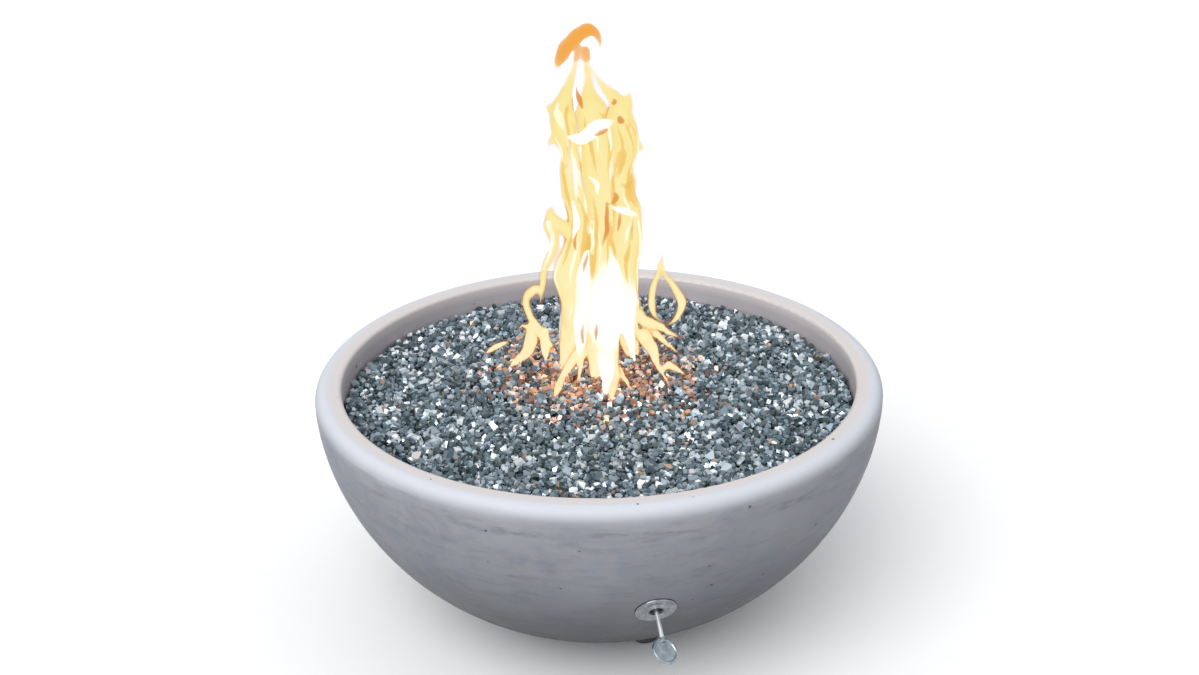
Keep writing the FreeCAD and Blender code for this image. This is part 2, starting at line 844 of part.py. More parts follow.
def hose_route(start, start_way, end, end_way):
    """From face to face: a straight lead out of each, and points along one swing between them."""
    lead = size("hose_lead").value
    swing = size("hose_swing").value
    first = start + start_way * lead
    last = end + end_way * lead
    curve = Part.BezierCurve()
    curve.setPoles([first, first + start_way * swing, last + end_way * swing, last])
    return [start, first] + [curve.value(share) for share in ROUTE_SHARES] + [last, end]


def rounded_route(points):
    """Straight runs joined by arcs, each as large as its two runs allow."""
    edges = []
    start = points[0]
    for before, corner, after in zip(points, points[1:], points[2:]):
        arriving = (corner - before).normalize()
        leaving = (after - corner).normalize()
        turn = arriving.getAngle(leaving)
        reach = ARC_SHARE * min((corner - before).Length, (after - corner).Length)
        bend = reach / math.tan(turn / 2)
        inward = (leaving - arriving).normalize()
        middle = corner + inward * (bend / math.cos(turn / 2) - bend)
        first = corner - arriving * reach
        last = corner + leaving * reach
        edges.append(Part.LineSegment(start, first).toShape())
        edges.append(Part.Arc(first, middle, last).toShape())
        print("  bend radius %.0f mm, turn %.0f degrees, next run %.0f mm" % (
            bend, math.degrees(turn), (after - corner).Length))
        start = last
    edges.append(Part.LineSegment(start, points[-1]).toShape())
    return Part.Wire(edges)


def swept(route, radius, start, heading):
    profile = Part.Wire([Part.Circle(start, heading, radius).toShape()])
    return route.makePipeShell([profile], True, False)


def make_hose(name, points):
    """A flexible metal line along its route, with its bore."""
    heading = points[1] - points[0]
    route = rounded_route(points)
    outside = swept(route, half("hose_dia").value, points[0], heading)
    inside = swept(route, half("hose_bore_dia").value, points[0], heading)
    hose = doc.addObject("Part::Feature", name)
    hose.Shape = outside.cut(inside)
    area = math.pi * (half("hose_dia").value ** 2 - half("hose_bore_dia").value ** 2)
    print(name, "volume against section times length: %.4f" % (hose.Shape.Volume / (area * route.Length)))
    node(hose, name)


def hose_nut(name, place):
    """Flare nut with its bore stepped from the flare thread down to the line."""
    length = size("hose_nut_length")
    hexagon = prism(name + "_hexagon", 6, size("hose_nut_flats"), length, at())
    past = size("drill_past")
    thread = cylinder(name + "_thread", flare_r + size("thread_gap"), size("flare_length") + past,
                      at(z=-past))
    way = drill(name + "_way", half("hose_dia") + size("thread_gap"), as_size(0), length)
    made = cut(name, hexagon, [thread, way])
    made.Placement = place
    return made


def flare_faces():
    """Valve inlet, valve outlet, mixer and gas inlet: where each flare ends and which way it faces."""
    reach = (size("valve_half_length") + size("flare_length")).value
    middle = VALVE.multVec(FreeCAD.Vector(0, 0, axis_w.value))
    mixer = FreeCAD.Vector(0, 0, (mixer_low_z - size("flare_length")).value)
    inlet = FreeCAD.Vector(size("inlet_x").value, size("inlet_y").value, inlet_flare_z().value)
    return [
        (middle - VALVE_LEVEL * reach, -VALVE_LEVEL),
        (middle + VALVE_LEVEL * reach, VALVE_LEVEL),
        (mixer, -Z_AXIS),
        (inlet, Z_AXIS),
    ]


def inlet_flare_z():
    return floor_z + size("washer_thickness") + size("inlet_hex_height") + size("flare_length")


def nut_place(face, outward):
    start = face - outward * size("flare_length").value
    return FreeCAD.Placement(start, FreeCAD.Rotation(Z_AXIS, outward))


def make_lines():
    """Supply line from the gas inlet to the valve, and burner line from the valve to the mixer."""
    valve_in, valve_out, mixer, gas_in = flare_faces()
    make_hose("supply_hose", hose_route(*valve_in, *gas_in))
    make_hose("burner_hose", hose_route(*valve_out, *mixer))
    node(group("supply_hose_nuts", [
        hose_nut("supply_nut_valve", nut_place(*valve_in)),
        hose_nut("supply_nut_inlet", nut_place(*gas_in)),
    ]), "supply_hose_nuts")
    node(group("burner_hose_nuts", [
        hose_nut("burner_nut_valve", nut_place(*valve_out)),
        hose_nut("burner_nut_mixer", nut_place(*mixer)),
    ]), "burner_hose_nuts")


# Gas inlet through the base

def make_inlet():
    """Bulkhead fitting with a female pipe thread below and a flare above, its gasket and locknut."""
    outer = half("inlet_dia")
    low = base_z - size("inlet_below")
    thread_top = low + size("inlet_thread_length")
    collar_low = floor_z + size("washer_thickness")
    collar_high = collar_low + size("inlet_hex_height")
    barrel = turned("inlet_barrel", [
        line(half("inlet_thread_dia"), low),
        line(outer, low),
        line(outer, collar_high),
        line(flare_r, collar_high),
        line(flare_r, inlet_flare_z()),
        line(gas_way_r, inlet_flare_z()),
        line(gas_way_r, thread_top),
        line(half("inlet_thread_dia"), thread_top),
    ])
    hexagon = prism("inlet_hexagon", 6, size("inlet_flats"), size("inlet_hex_height"), at(z=collar_low))
    core = cylinder("inlet_core", outer - size("join"), size("inlet_hex_height") * 3,
                    at(z=collar_low - size("inlet_hex_height")))
    collar = cut("inlet_collar", hexagon, [core])
    fitting = fused("inlet_fitting", [barrel, collar])
    fitting.Placement = at(size("inlet_x"), size("inlet_y"), 0)
    node(fitting, "inlet_fitting")
    gasket = tube("inlet_gasket", half("inlet_flats") + size("washer_overlap"),
                  outer + size("thread_gap"), floor_z, collar_low)
    gasket.Placement = at(size("inlet_x"), size("inlet_y"), 0)
    node(gasket)
    nut_low = base_z - size("inlet_hex_height")
    nut = prism("inlet_nut_hexagon", 6, size("inlet_flats"), size("inlet_hex_height"), at(z=nut_low))
    hole = drill("inlet_nut_hole", outer + size("thread_gap"), nut_low, base_z)
    locknut = cut("inlet_locknut", nut, [hole])
    locknut.Placement = at(size("inlet_x"), size("inlet_y"), 0)
    node(locknut, "inlet_locknut")


# Valve. Its pieces are made about the local Z axis, whose zero is on the wall's outer face.

wall_seat_depth = size("wall_thickness") - size("wall_seat_skim")
barrel_r = half("valve_barrel_dia")
ball_r = half("ball_dia")
washer_low_w = -wall_seat_depth - size("washer_thickness")
sleeve_nut_low_w = washer_low_w - size("sleeve_nut_height")
snout_top_w = sleeve_nut_low_w - size("hole_gap")
snout_floor_w = snout_top_w - size("sleeve_grip")
axis_w = snout_floor_w - barrel_r - size("join")
body_right = half("snout_dia") + size("hole_gap")
chamber_r = ball_r + size("chamber_gap")
stem_r = half("stem_dia")
bonnet_w = axis_w + chamber_r
seal_low_w = bonnet_w + size("stem_collar_height")
seal_high_w = seal_low_w + size("seal_height")
packing_low_w = snout_floor_w + size("hole_gap")
packing_top_w = packing_low_w + size("packing_height")
square_low_w = packing_top_w + size("hole_gap")
square_top_w = square_low_w + size("stem_square_length")
socket_r = half("key_socket_dia")
socket_low_w = square_top_w - size("key_engagement")
socket_top_w = socket_low_w + size("key_socket_length")
sleeve_top_w = size("sleeve_stand_out")
sleeve_low_w = snout_floor_w + size("sliding_gap")


def make_valve_body():
    """Brass ball valve body with a side port, an open end for its cap, and a snout for the sleeve."""
    left = -size("valve_half_length")
    barrel = cylinder("valve_barrel", barrel_r, body_right - left, at(left, 0, axis_w, X_AXIS))
    nose = cylinder("valve_nose", flare_r, size("flare_length"),
                    at(left - size("flare_length"), 0, axis_w, X_AXIS))
    snout = cylinder("valve_snout", half("snout_dia"), snout_top_w - axis_w, at(z=axis_w))
    solid = fused("valve_solid", [barrel, nose, snout])
    way = cylinder("valve_way", gas_way_r, 2 * size("valve_half_length"),
                   at(left - size("flare_length"), 0, axis_w, X_AXIS))
    chamber = cylinder("valve_chamber", chamber_r, 2 * body_right,
                       at(-size("seat_reach"), 0, axis_w, X_AXIS))
    collar_way = cylinder("valve_collar_way", stem_r + size("stem_collar_width") + size("sliding_gap"),
                          seal_low_w - axis_w, at(z=axis_w))
    seal_way = cylinder("valve_seal_way", half("seal_dia") + size("thread_gap"),
                        snout_floor_w - seal_low_w + size("join"), at(z=seal_low_w))
    snout_way = cylinder("valve_snout_way", half("sleeve_dia") + size("thread_gap"),
                         snout_top_w - snout_floor_w + size("join"), at(z=snout_floor_w))
    on_valve(cut("valve_body", solid, [way, chamber, collar_way, seal_way, snout_way]), "valve_body")


def make_valve_end():
    """Screwed end cap with the outlet flare. It holds the second seat against the ball."""
    inner = size("seat_reach") + size("thread_gap")
    shoulder = body_right
    reach = size("valve_half_length")
    cap_r = barrel_r - size("end_cap_step")
    turned_end = turned("valve_end_turning", [
        line(gas_way_r, inner),
        line(chamber_r - size("thread_gap"), inner),
        line(chamber_r - size("thread_gap"), shoulder),
        line(cap_r, shoulder),
        line(cap_r, reach),
        line(flare_r, reach),
        line(flare_r, reach + size("flare_length")),
        line(gas_way_r, reach + size("flare_length")),
    ])
    hexagon = prism("valve_end_hexagon", 6, size("valve_barrel_dia"), size("end_cap_hex_height"),
                    at(z=shoulder))
    core = cylinder("valve_end_core", cap_r - size("join"), 2 * reach, at(z=0))
    collar = cut("valve_end_collar", hexagon, [core])
    made = fused("valve_end", [turned_end, collar])
    made.Placement = at(0, 0, axis_w, X_AXIS)
    on_valve(made, "valve_end")


def make_seats():
    """Two rings that the ball turns between, each dished to its round."""
    made = []
    for side, name in ((-1, "seat_inlet"), (1, "seat_outlet")):
        ring = tube(name + "_ring", chamber_r - size("thread_gap"), gas_way_r,
                    size("seat_reach") - size("seat_width"), size("seat_reach") - size("thread_gap"))
        dish = doc.addObject("Part::Sphere", name + "_dish")
        bind(dish, Radius=ball_r + size("running_gap"))
        seat = cut(name, ring, [dish])
        seat.Placement = at(0, 0, axis_w, X_AXIS * side)
        made.append(seat)
    on_valve(group("valve_seats", made), "valve_seats")


slot_depth = size("ball_slot_depth")
slot_width = size("ball_slot_width")


def make_ball():
    """Ball with its gas way along the line and a slot on top for the stem's tongue."""
    ball = doc.addObject("Part::Sphere", "ball_round")
    bind(ball, Radius=ball_r)
    way = cylinder("ball_way", gas_way_r, 2 * size("ball_dia"), at(-size("ball_dia"), 0, 0, X_AXIS))
    slot = block("ball_slot", size("ball_dia"), slot_width, ball_r, at(z=ball_r - slot_depth))
    made = cut("valve_ball", ball, [way, slot])
    made.Placement = at(z=axis_w)
    on_valve(made, "valve_ball")


def make_stem():
    """Stem with a tongue in the ball, a collar that cannot blow out and a square for the key."""
    tongue_low = axis_w + ball_r - slot_depth + size("sliding_gap")
    collar_low = axis_w + ball_r + size("sliding_gap")
    collar_high = seal_low_w - size("sliding_gap")
    shaft = turned("stem_shaft", [
        line(0, collar_low),
        line(stem_r + size("stem_collar_width"), collar_low),
        line(stem_r + size("stem_collar_width"), collar_high),
        line(stem_r, collar_high),
        line(stem_r, square_low_w),
        line(0, square_low_w),
    ])
    tongue = block("stem_tongue", stem_r * 2, slot_width - 2 * size("sliding_gap"),
                   collar_low - tongue_low + size("join"), at(z=tongue_low))
    square = prism("stem_square_end", 4, size("stem_square"), size("stem_square_length") + size("join"),
                   at(z=square_low_w - size("join")))
    on_valve(fused("valve_stem", [shaft, tongue, square]), "valve_stem")


def make_packing():
    """Seal ring round the stem and the nut that squeezes it."""
    on_valve(tube("stem_seal", half("seal_dia"), stem_r + size("running_gap"), seal_low_w, seal_high_w),
             "stem_seal")
    bore = stem_r + size("running_gap")
    thread = cylinder("packing_thread", half("seal_dia"), packing_top_w - seal_high_w,
                      at(z=seal_high_w))
    hexagon = prism("packing_hexagon", 6, size("packing_flats"), size("packing_height"),
                    at(z=packing_low_w))
    hole = drill("packing_hole", bore, seal_high_w, packing_top_w)
    on_valve(cut("packing_nut", fused("packing_solid", [thread, hexagon]), [hole]), "packing_nut")


def make_sleeve():
    """Pipe sleeve through the wall, with its washer and locknut on the inside."""
    on_valve(tube("key_sleeve", half("sleeve_dia"), half("sleeve_bore_dia"), sleeve_low_w, sleeve_top_w),
             "key_sleeve")
    bore = half("sleeve_dia") + size("thread_gap")
    on_valve(tube("sleeve_washer", half("sleeve_washer_dia"), bore, washer_low_w,
                  -wall_seat_depth), "sleeve_washer")
    hexagon = prism("sleeve_nut_hexagon", 6, size("sleeve_nut_flats"), size("sleeve_nut_height"),
                    at(z=sleeve_nut_low_w))
    hole = drill("sleeve_nut_hole", bore, sleeve_nut_low_w, washer_low_w)
    on_valve(cut("sleeve_locknut", hexagon, [hole]), "sleeve_locknut")


def make_plate():
    """Chromed cover plate: rolled edge, dished band with two rows of pips, and a raised collar."""
    back = -size("plate_seat_depth")
    outer = half("plate_dia")
    band_w = size("plate_band_height")
    edge_w = size("plate_edge_height")
    round_w = size("plate_edge_round")
    crown_w = size("plate_height")
    bevel = size("plate_collar_bevel")
    hole_r = half("plate_hole_dia")
    collar_r = hole_r + size("plate_collar_width")
    thread_r = half("sleeve_dia") + size("thread_gap")
    pressing = turned("plate_pressing", [
        line(thread_r, back),
        line(outer, back),
        line(outer, edge_w - round_w),
        smooth(outer - round_w, edge_w),
        line(outer - size("plate_edge_width"), band_w),
        line(collar_r + size("plate_collar_slope"), band_w),
        line(collar_r, crown_w - bevel),
        line(collar_r - bevel, crown_w),
        line(hole_r + bevel, crown_w),
        line(hole_r, crown_w - bevel),
        line(hole_r, sleeve_top_w + size("sliding_gap")),
        line(thread_r, sleeve_top_w + size("sliding_gap")),
    ])
    pips = []
    for side in (-1, 1):
        count = int(size("pips_per_side").value)
        for number in range(count):
            lean = (number - (count - 1) / 2) * size("pip_pitch_angle").value
            angle = math.radians(lean if side > 0 else 180 + lean)
            spot = FreeCAD.Vector(math.cos(angle), math.sin(angle), 0) * half("pip_circle_dia").value
            pip = doc.addObject("Part::Cone", "pip_%d_%d" % (side + 1, number))
            bind(pip, Radius1=half("pip_dia"), Radius2=half("pip_top_dia"),
                 Height=size("pip_height") + size("join"))
            pip.Placement = at(spot.x, spot.y, band_w - size("join"))
            pips.append(pip)
    on_valve(fused("escutcheon", [pressing] + pips), "escutcheon")


# Key

def key_turned(obj, label):
    turn = FreeCAD.Rotation(Z_AXIS, size("key_turn").value)
    obj.Placement = FreeCAD.Placement(FreeCAD.Vector(), turn).multiply(obj.Placement)
    on_valve(obj, label)


def make_key():
    """Key with a square socket that slips over the stem, a rod, and a coin-shaped handle."""
    socket_round = cylinder("socket_round", socket_r, size("key_socket_length"), at(z=socket_low_w))
    square_hole = prism("socket_square", 4, size("stem_square") + 2 * size("sliding_gap"),
                        size("key_engagement") + 2 * size("join"), at(z=socket_low_w - size("join")))
    rod_low = socket_top_w - size("key_rod_grip")
    rod_hole = cylinder("socket_rod_hole", half("key_rod_dia") + size("thread_gap"),
                        2 * size("key_rod_grip"), at(z=rod_low - size("thread_gap")))
    on_valve(cut("key_socket", socket_round, [square_hole, rod_hole]), "key_socket")
    handle_r = half("key_handle_dia")
    grip_low = size("key_handle_reach") - handle_r
    rod_top = grip_low + size("key_rod_grip")
    on_valve(cylinder("key_rod", half("key_rod_dia"), rod_top - rod_low, at(z=rod_low)), "key_rod")
    thick = half("key_handle_thickness")
    rim = size("key_rim_width")
    dish = size("key_dish_depth")
    edge = size("key_edge_round")
    coin = turned("handle_coin", [
        line(0, -thick + dish),
        line(handle_r - rim - dish, -thick + dish),
        line(handle_r - rim, -thick),
        line(handle_r - edge, -thick),
        smooth(handle_r, -thick + edge),
        line(handle_r, thick - edge),
        smooth(handle_r - edge, thick),
        line(handle_r - rim, thick),
        line(handle_r - rim - dish, thick - dish),
        line(0, thick - dish),
    ])
    grip = size("key_rod_grip")
    boss = cylinder("handle_boss", half("key_rod_dia") + size("key_boss_wall"), size("key_boss_length"),
                    at(-handle_r - (size("key_boss_length") - grip) / 2, 0, 0, X_AXIS))
    rod_way = cylinder("handle_rod_way", half("key_rod_dia") + size("thread_gap"), 2 * grip,
                       at(-handle_r - grip + size("thread_gap"), 0, 0, X_AXIS))
    handle = cut("key_handle", fused("handle_solid", [coin, boss]), [rod_way])
    upright = FreeCAD.Rotation(Z_AXIS, FreeCAD.Vector(0, 1, 0), X_AXIS, "ZXY")
    handle.Placement = FreeCAD.Placement(
        FreeCAD.Vector(0, 0, size("key_handle_reach").value), upright)
    key_turned(handle, "key_handle")


def build():
    make_bowl()
    make_feet()
    make_pan()
    make_glass()
    make_ring()
    make_crossbar()
    make_hub()
    make_nipple()
    make_pan_fixing()
    make_mixer()
    make_lines()
    make_inlet()
    make_valve_body()
    make_valve_end()
    make_seats()
    make_ball()
    make_stem()
    make_packing()
    make_sleeve()
    make_plate()
    make_key()


def check_document():
    """Stops with a plain message if anything in the document failed."""
    for obj in doc.Objects:
        if "Invalid" in obj.State or "Error" in obj.State:
            raise RuntimeError("%s did not recompute: %s" % (obj.Name, obj.State))
    for obj in NODES:
        shape = obj.Shape
        if shape.isNull() or not shape.isValid() or not shape.Solids:
            raise RuntimeError("%s has no valid solid" % obj.Label)


def export():
    os.makedirs("parts", exist_ok=True)
    for obj in NODES:
        shape = obj.Shape
        shape.exportStep("parts/%s.step" % obj.Label)
        box = shape.BoundBox
        print("%-18s %2d solid(s) %12.1f mm3  z %.1f to %.1f" % (
            obj.Label, len(shape.Solids), shape.Volume, box.ZMin, box.ZMax))


build()
doc.recompute()
check_document()
export()
print("valve axis point", VALVE.Base, "outward", VALVE_AXIS)
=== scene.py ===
# %% [markdown]
# A gas fire bowl: a cast cement shell full of broken fire glass, with a key valve in its lower wall.
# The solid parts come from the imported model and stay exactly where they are. This file gives each of
# them its finish, and builds the two things that need a modeller's hand: the loose glass and the fire.
# Everything is in metres, with the origin on the floor under the middle of the bowl.

import math

import bpy
import bmesh
import numpy as np
from mathutils import Matrix, Vector, noise
from mathutils.bvhtree import BVHTree


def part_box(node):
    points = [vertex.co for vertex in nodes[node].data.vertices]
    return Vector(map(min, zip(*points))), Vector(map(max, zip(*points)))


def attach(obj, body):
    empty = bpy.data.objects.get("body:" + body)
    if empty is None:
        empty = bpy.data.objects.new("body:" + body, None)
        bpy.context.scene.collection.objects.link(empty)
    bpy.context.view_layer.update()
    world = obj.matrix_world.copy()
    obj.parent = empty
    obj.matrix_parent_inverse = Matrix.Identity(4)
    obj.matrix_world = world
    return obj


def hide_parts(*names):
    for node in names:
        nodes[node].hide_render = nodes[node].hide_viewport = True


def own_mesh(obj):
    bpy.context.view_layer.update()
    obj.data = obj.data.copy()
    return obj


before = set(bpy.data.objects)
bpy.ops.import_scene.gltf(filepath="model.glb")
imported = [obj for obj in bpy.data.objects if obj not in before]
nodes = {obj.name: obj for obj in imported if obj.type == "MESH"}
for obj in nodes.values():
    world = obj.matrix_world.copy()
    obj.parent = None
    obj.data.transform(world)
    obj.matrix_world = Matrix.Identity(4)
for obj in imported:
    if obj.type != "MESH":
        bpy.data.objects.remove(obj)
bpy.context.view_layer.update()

# %% [markdown]
# A photograph fixes the lens, the height and the tilt of the camera. The fit was made on the two
# outlines of the rim, so the numbers are real distances: the lens stands at eye height, a good two and
# a half metres in front of the bowl, and looks down at it. A very small roll is left in, because the
# rim in the photograph isn't quite level.

# %% Camera
MM = 0.001
CAMERA_PLACE = Vector((2.0, -2782.5, 1735.0)) * MM
CAMERA_DOWN = math.radians(24.35)
CAMERA_ROLL = -0.01377
FOCAL_PIXELS = 1900.0
PHOTO_WIDTH = 1199.0
SENSOR_WIDTH = 36.0

lens = bpy.data.cameras.new("camera")
lens.sensor_width = SENSOR_WIDTH
lens.lens = FOCAL_PIXELS / PHOTO_WIDTH * SENSOR_WIDTH
camera = bpy.data.objects.new("camera", lens)
bpy.context.scene.collection.objects.link(camera)
tilt = Matrix.Rotation(math.pi / 2 - CAMERA_DOWN, 4, "X")
camera.matrix_world = Matrix.Translation(CAMERA_PLACE) @ tilt @ Matrix.Rotation(CAMERA_ROLL, 4, "Z")
bpy.context.scene.camera = camera
bpy.context.scene.view_settings.view_transform = "Standard"
print("lens", round(lens.lens, 2), "mm")

# %% [markdown]
# Materials are node trees. Three small helpers keep the cells below short: one turns a colour from a
# paint chart (sRGB hex) into the linear numbers that the renderer works in, one starts a material with
# its shader, and one adds a node with its settings and links in a single call.

# %% Material helpers
def linear(hex_colour):
    """An sRGB colour such as #8f939e as linear red, green, blue and alpha."""
    parts = [int(hex_colour[i:i + 2], 16) / 255 for i in (1, 3, 5)]
    return [p / 12.92 if p <= 0.04045 else ((p + 0.055) / 1.055) ** 2.4 for p in parts] + [1.0]


def add(tree, kind, inputs=None, **settings):
    """A new node. An input's value is a plain value, or another node's output to link."""
    node = tree.nodes.new(kind)
    for name, value in settings.items():
        setattr(node, name, value)
    for name, value in (inputs or {}).items():
        if isinstance(value, bpy.types.NodeSocket):
            tree.links.new(value, node.inputs[name])
        else:
            node.inputs[name].default_value = value
    return node


def start_material(name, **shader):
    """A material whose surface is one shader: its tree, and the shader node."""
    material = bpy.data.materials.new(name)
    material.use_nodes = True
    tree = material.node_tree
    tree.nodes.clear()
    surface = add(tree, "ShaderNodeBsdfPrincipled", {k.replace("_", " "): v for k, v in shader.items()})
    add(tree, "ShaderNodeOutputMaterial", {"Surface": surface.outputs[0]})
    return material, tree, surface


def dress(material, *names):
    """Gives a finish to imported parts."""
    for name in names:
        slots = nodes[name].material_slots
        for slot in slots:
            slot.material = material
        if not slots:
            nodes[name].data.materials.append(material)


# %% [markdown]
# The bowl stands on a plain pale floor. Two things are asked of it: it shows white behind the object,
# as in a cut-out, and it must not throw so much light up that the underside of the bowl glows. The
# Light Path node tells the camera's rays from the light that bounces about, so the floor can be pale
# for the one and dark for the other, and it still takes the shadow.

# %% Floor
FLOOR_SIDE = 14.0
FLOOR_SEEN = "#fdfdfd"
FLOOR_BOUNCE = "#5c5b58"

floor_material = bpy.data.materials.new("pale floor")
floor_material.use_nodes = True
tree = floor_material.node_tree
tree.nodes.clear()
path = add(tree, "ShaderNodeLightPath")
seen = add(tree, "ShaderNodeMath", {0: path.outputs["Is Camera Ray"], 1: path.outputs["Is Glossy Ray"]},
           operation="MAXIMUM")
seen = add(tree, "ShaderNodeMath", {0: seen.outputs[0], 1: path.outputs["Is Transmission Ray"]},
           operation="MAXIMUM")
dark = add(tree, "ShaderNodeBsdfDiffuse", {"Color": linear(FLOOR_BOUNCE)})
pale = add(tree, "ShaderNodeBsdfDiffuse", {"Color": linear(FLOOR_SEEN)})
both = add(tree, "ShaderNodeMixShader", {0: seen.outputs[0], 1: dark.outputs[0], 2: pale.outputs[0]})
add(tree, "ShaderNodeOutputMaterial", {"Surface": both.outputs[0]})

floor_mesh = bpy.data.meshes.new("floor")
reach = FLOOR_SIDE / 2
floor_mesh.from_pydata([(-reach, -reach, 0), (reach, -reach, 0), (reach, reach, 0), (-reach, reach, 0)],
                       [], [(0, 1, 2, 3)])
floor_mesh.materials.append(floor_material)
floor = bpy.data.objects.new("floor", floor_mesh)
bpy.context.scene.collection.objects.link(floor)
print("floor", FLOOR_SIDE, "m square")

# %% [markdown]
# The light is an overcast sky: strong from above, weak from the side, and a little stronger from the
# left, where the wall of the bowl is brighter. The world gives the sky, darker towards the ground, and
# one broad soft sun gives the side. Together they light a level surface at about one, the level at
# which a colour renders as it is written.

# %% Light
SKY_TOP = 0.76
SKY_LOW = 0.16
SUN_STRENGTH = 2.0
SUN_SPREAD = math.radians(50)
SUN_HEIGHT = math.radians(42)
SUN_BEARING = math.radians(-26)

world = bpy.data.worlds.new("overcast sky")
bpy.context.scene.world = world
world.use_nodes = True
tree = world.node_tree
tree.nodes.clear()
path = add(tree, "ShaderNodeLightPath")
seen = add(tree, "ShaderNodeMath", {0: path.outputs["Is Camera Ray"], 1: path.outputs["Is Glossy Ray"]},
           operation="MAXIMUM")
seen = add(tree, "ShaderNodeMath", {0: seen.outputs[0], 1: path.outputs["Is Transmission Ray"]},
           operation="MAXIMUM")
way = add(tree, "ShaderNodeTexCoord")
up = add(tree, "ShaderNodeSeparateXYZ", {0: way.outputs["Generated"]})
level = add(tree, "ShaderNodeMapRange", {"Value": up.outputs["Z"], "From Min": -0.2, "From Max": 0.35,
                                         "To Min": SKY_LOW, "To Max": SKY_TOP})
sky = add(tree, "ShaderNodeBackground", {"Color": linear("#fafcff"), "Strength": level.outputs[0]})
white = add(tree, "ShaderNodeBackground", {"Color": linear("#ffffff"), "Strength": 1.0})
both = add(tree, "ShaderNodeMixShader", {0: seen.outputs[0], 1: sky.outputs[0], 2: white.outputs[0]})
add(tree, "ShaderNodeOutputWorld", {"Surface": both.outputs[0]})

sun_light = bpy.data.lights.new("soft sun", "SUN")
sun_light.energy = SUN_STRENGTH
sun_light.angle = SUN_SPREAD
sun = bpy.data.objects.new("soft sun", sun_light)
sun.rotation_euler = (math.pi / 2 - SUN_HEIGHT, 0, SUN_BEARING)
bpy.context.scene.collection.objects.link(sun)
print("sun", SUN_STRENGTH)

# %% [markdown]
# The shell is glass-fibre cement, poured in a smooth mould, rubbed down by hand and sealed. That gives
# the eye four things: broad clouds where the paste dried unevenly, fine level streaks from the rubbing,
# scattered pits where air stood against the mould, and a dull sealed surface. The rim top is painted
# palest, as painted light. The wall is painted darker towards the ground, as painted shade, and warmer
# inside, next to the fire, partly as soot and partly as painted firelight.

# %% Sealed cast cement
RIM_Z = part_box("bowl")[1].z
RIM_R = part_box("bowl")[1].x
GLASS_Z = RIM_Z - 35 * MM
GLASS_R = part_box("fire_glass")[1].x
CLOUD = 130 * MM
PATCH = 42 * MM
STREAK = 60 * MM
GRAIN = 2.2 * MM
PIT_PITCH = 27 * MM
PIT_SIZE = 3.0 * MM

cement, tree, surface = start_material("sealed cast cement", Roughness=0.6, IOR=1.5)
place = add(tree, "ShaderNodeTexCoord").outputs["Object"]
parts = add(tree, "ShaderNodeSeparateXYZ", {0: place})
height = parts.outputs["Z"]
level_place = add(tree, "ShaderNodeCombineXYZ", {"X": parts.outputs["X"], "Y": parts.outputs["Y"]})
radius = add(tree, "ShaderNodeVectorMath", {0: level_place.outputs[0]}, operation="LENGTH").outputs["Value"]
clouds = add(tree, "ShaderNodeTexNoise", {"Vector": place, "Scale": 1 / CLOUD, "Detail": 4.0,
                                          "Roughness": 0.55}).outputs["Fac"]
patches = add(tree, "ShaderNodeTexNoise", {"Vector": place, "Scale": 1 / PATCH, "Detail": 5.0,
                                           "Roughness": 0.68, "Distortion": 1.2}).outputs["Fac"]
flat_place = add(tree, "ShaderNodeMapping", {"Vector": place, "Scale": (1.0, 1.0, 4.5)}).outputs[0]
streaks = add(tree, "ShaderNodeTexNoise", {"Vector": flat_place, "Scale": 1 / STREAK, "Detail": 6.0,
                                           "Roughness": 0.65}).outputs["Fac"]
grain = add(tree, "ShaderNodeTexNoise", {"Vector": place, "Scale": 1 / GRAIN, "Detail": 2.0}).outputs["Fac"]
print("cement clouds", CLOUD, "m")

# %% [markdown]
# The colours are laid one over another, from the widest pattern to the finest. Each layer is a Mix
# node whose factor is a pattern stretched by a Map Range node, so a layer can be read on its own.

# %% Cement colours
def stretch(tree, value, low, high, to_low=0.0, to_high=1.0):
    """A value stretched from one range to another, held at both ends."""
    return add(tree, "ShaderNodeMapRange", {"Value": value, "From Min": low, "From Max": high,
                                            "To Min": to_low, "To Max": to_high}).outputs[0]


def blend(tree, share, below, above, way="MIX"):
    """One colour laid over another by a share."""
    return add(tree, "ShaderNodeMix", {0: share, 6: below, 7: above},
               data_type="RGBA", blend_type=way).outputs[2]


wall = blend(tree, stretch(tree, clouds, 0.32, 0.68), linear("#9096a4"), linear("#b0b3bc"))
wall = blend(tree, stretch(tree, patches, 0.40, 0.66, 0.0, 0.75), wall, linear("#b2b0b5"))
wall = blend(tree, stretch(tree, streaks, 0.5, 0.74, 0.0, 0.5), wall, linear("#737b82"))
# Painted shade: the wall is painted darker towards the ground, in two steps.
wall = blend(tree, stretch(tree, height, 0.27, 0.07, 0.0, 0.92), wall, linear("#585b60"))
wall = blend(tree, stretch(tree, height, 0.13, 0.05, 0.0, 0.6), wall, linear("#3b3d40"))
# Painted light: the top of the rim is painted palest, as the sky would light it.
rim_light_share = stretch(tree, height, RIM_Z - 28 * MM, RIM_Z - 4 * MM, 0.0, 0.9)
wall = blend(tree, rim_light_share, wall, linear("#ced2da"))
# Inside the rim: a warmer tint, partly soot and partly painted firelight, pale near the lip and painted darker
# lower down as painted shade.
above_belly = stretch(tree, height, RIM_Z - 90 * MM, RIM_Z - 80 * MM)
inner_share = stretch(tree, radius, RIM_R - 14 * MM, RIM_R - 30 * MM)
inner_share = add(tree, "ShaderNodeMath", {0: inner_share, 1: above_belly}, operation="MULTIPLY").outputs[0]
inner_firelight_and_soot = blend(tree, stretch(tree, height, RIM_Z - 4 * MM, RIM_Z - 22 * MM), linear("#cfc8c6"),
              linear("#aea8ab"))
wall = blend(tree, inner_share, wall, inner_firelight_and_soot)
print("cement layers", len(tree.nodes))
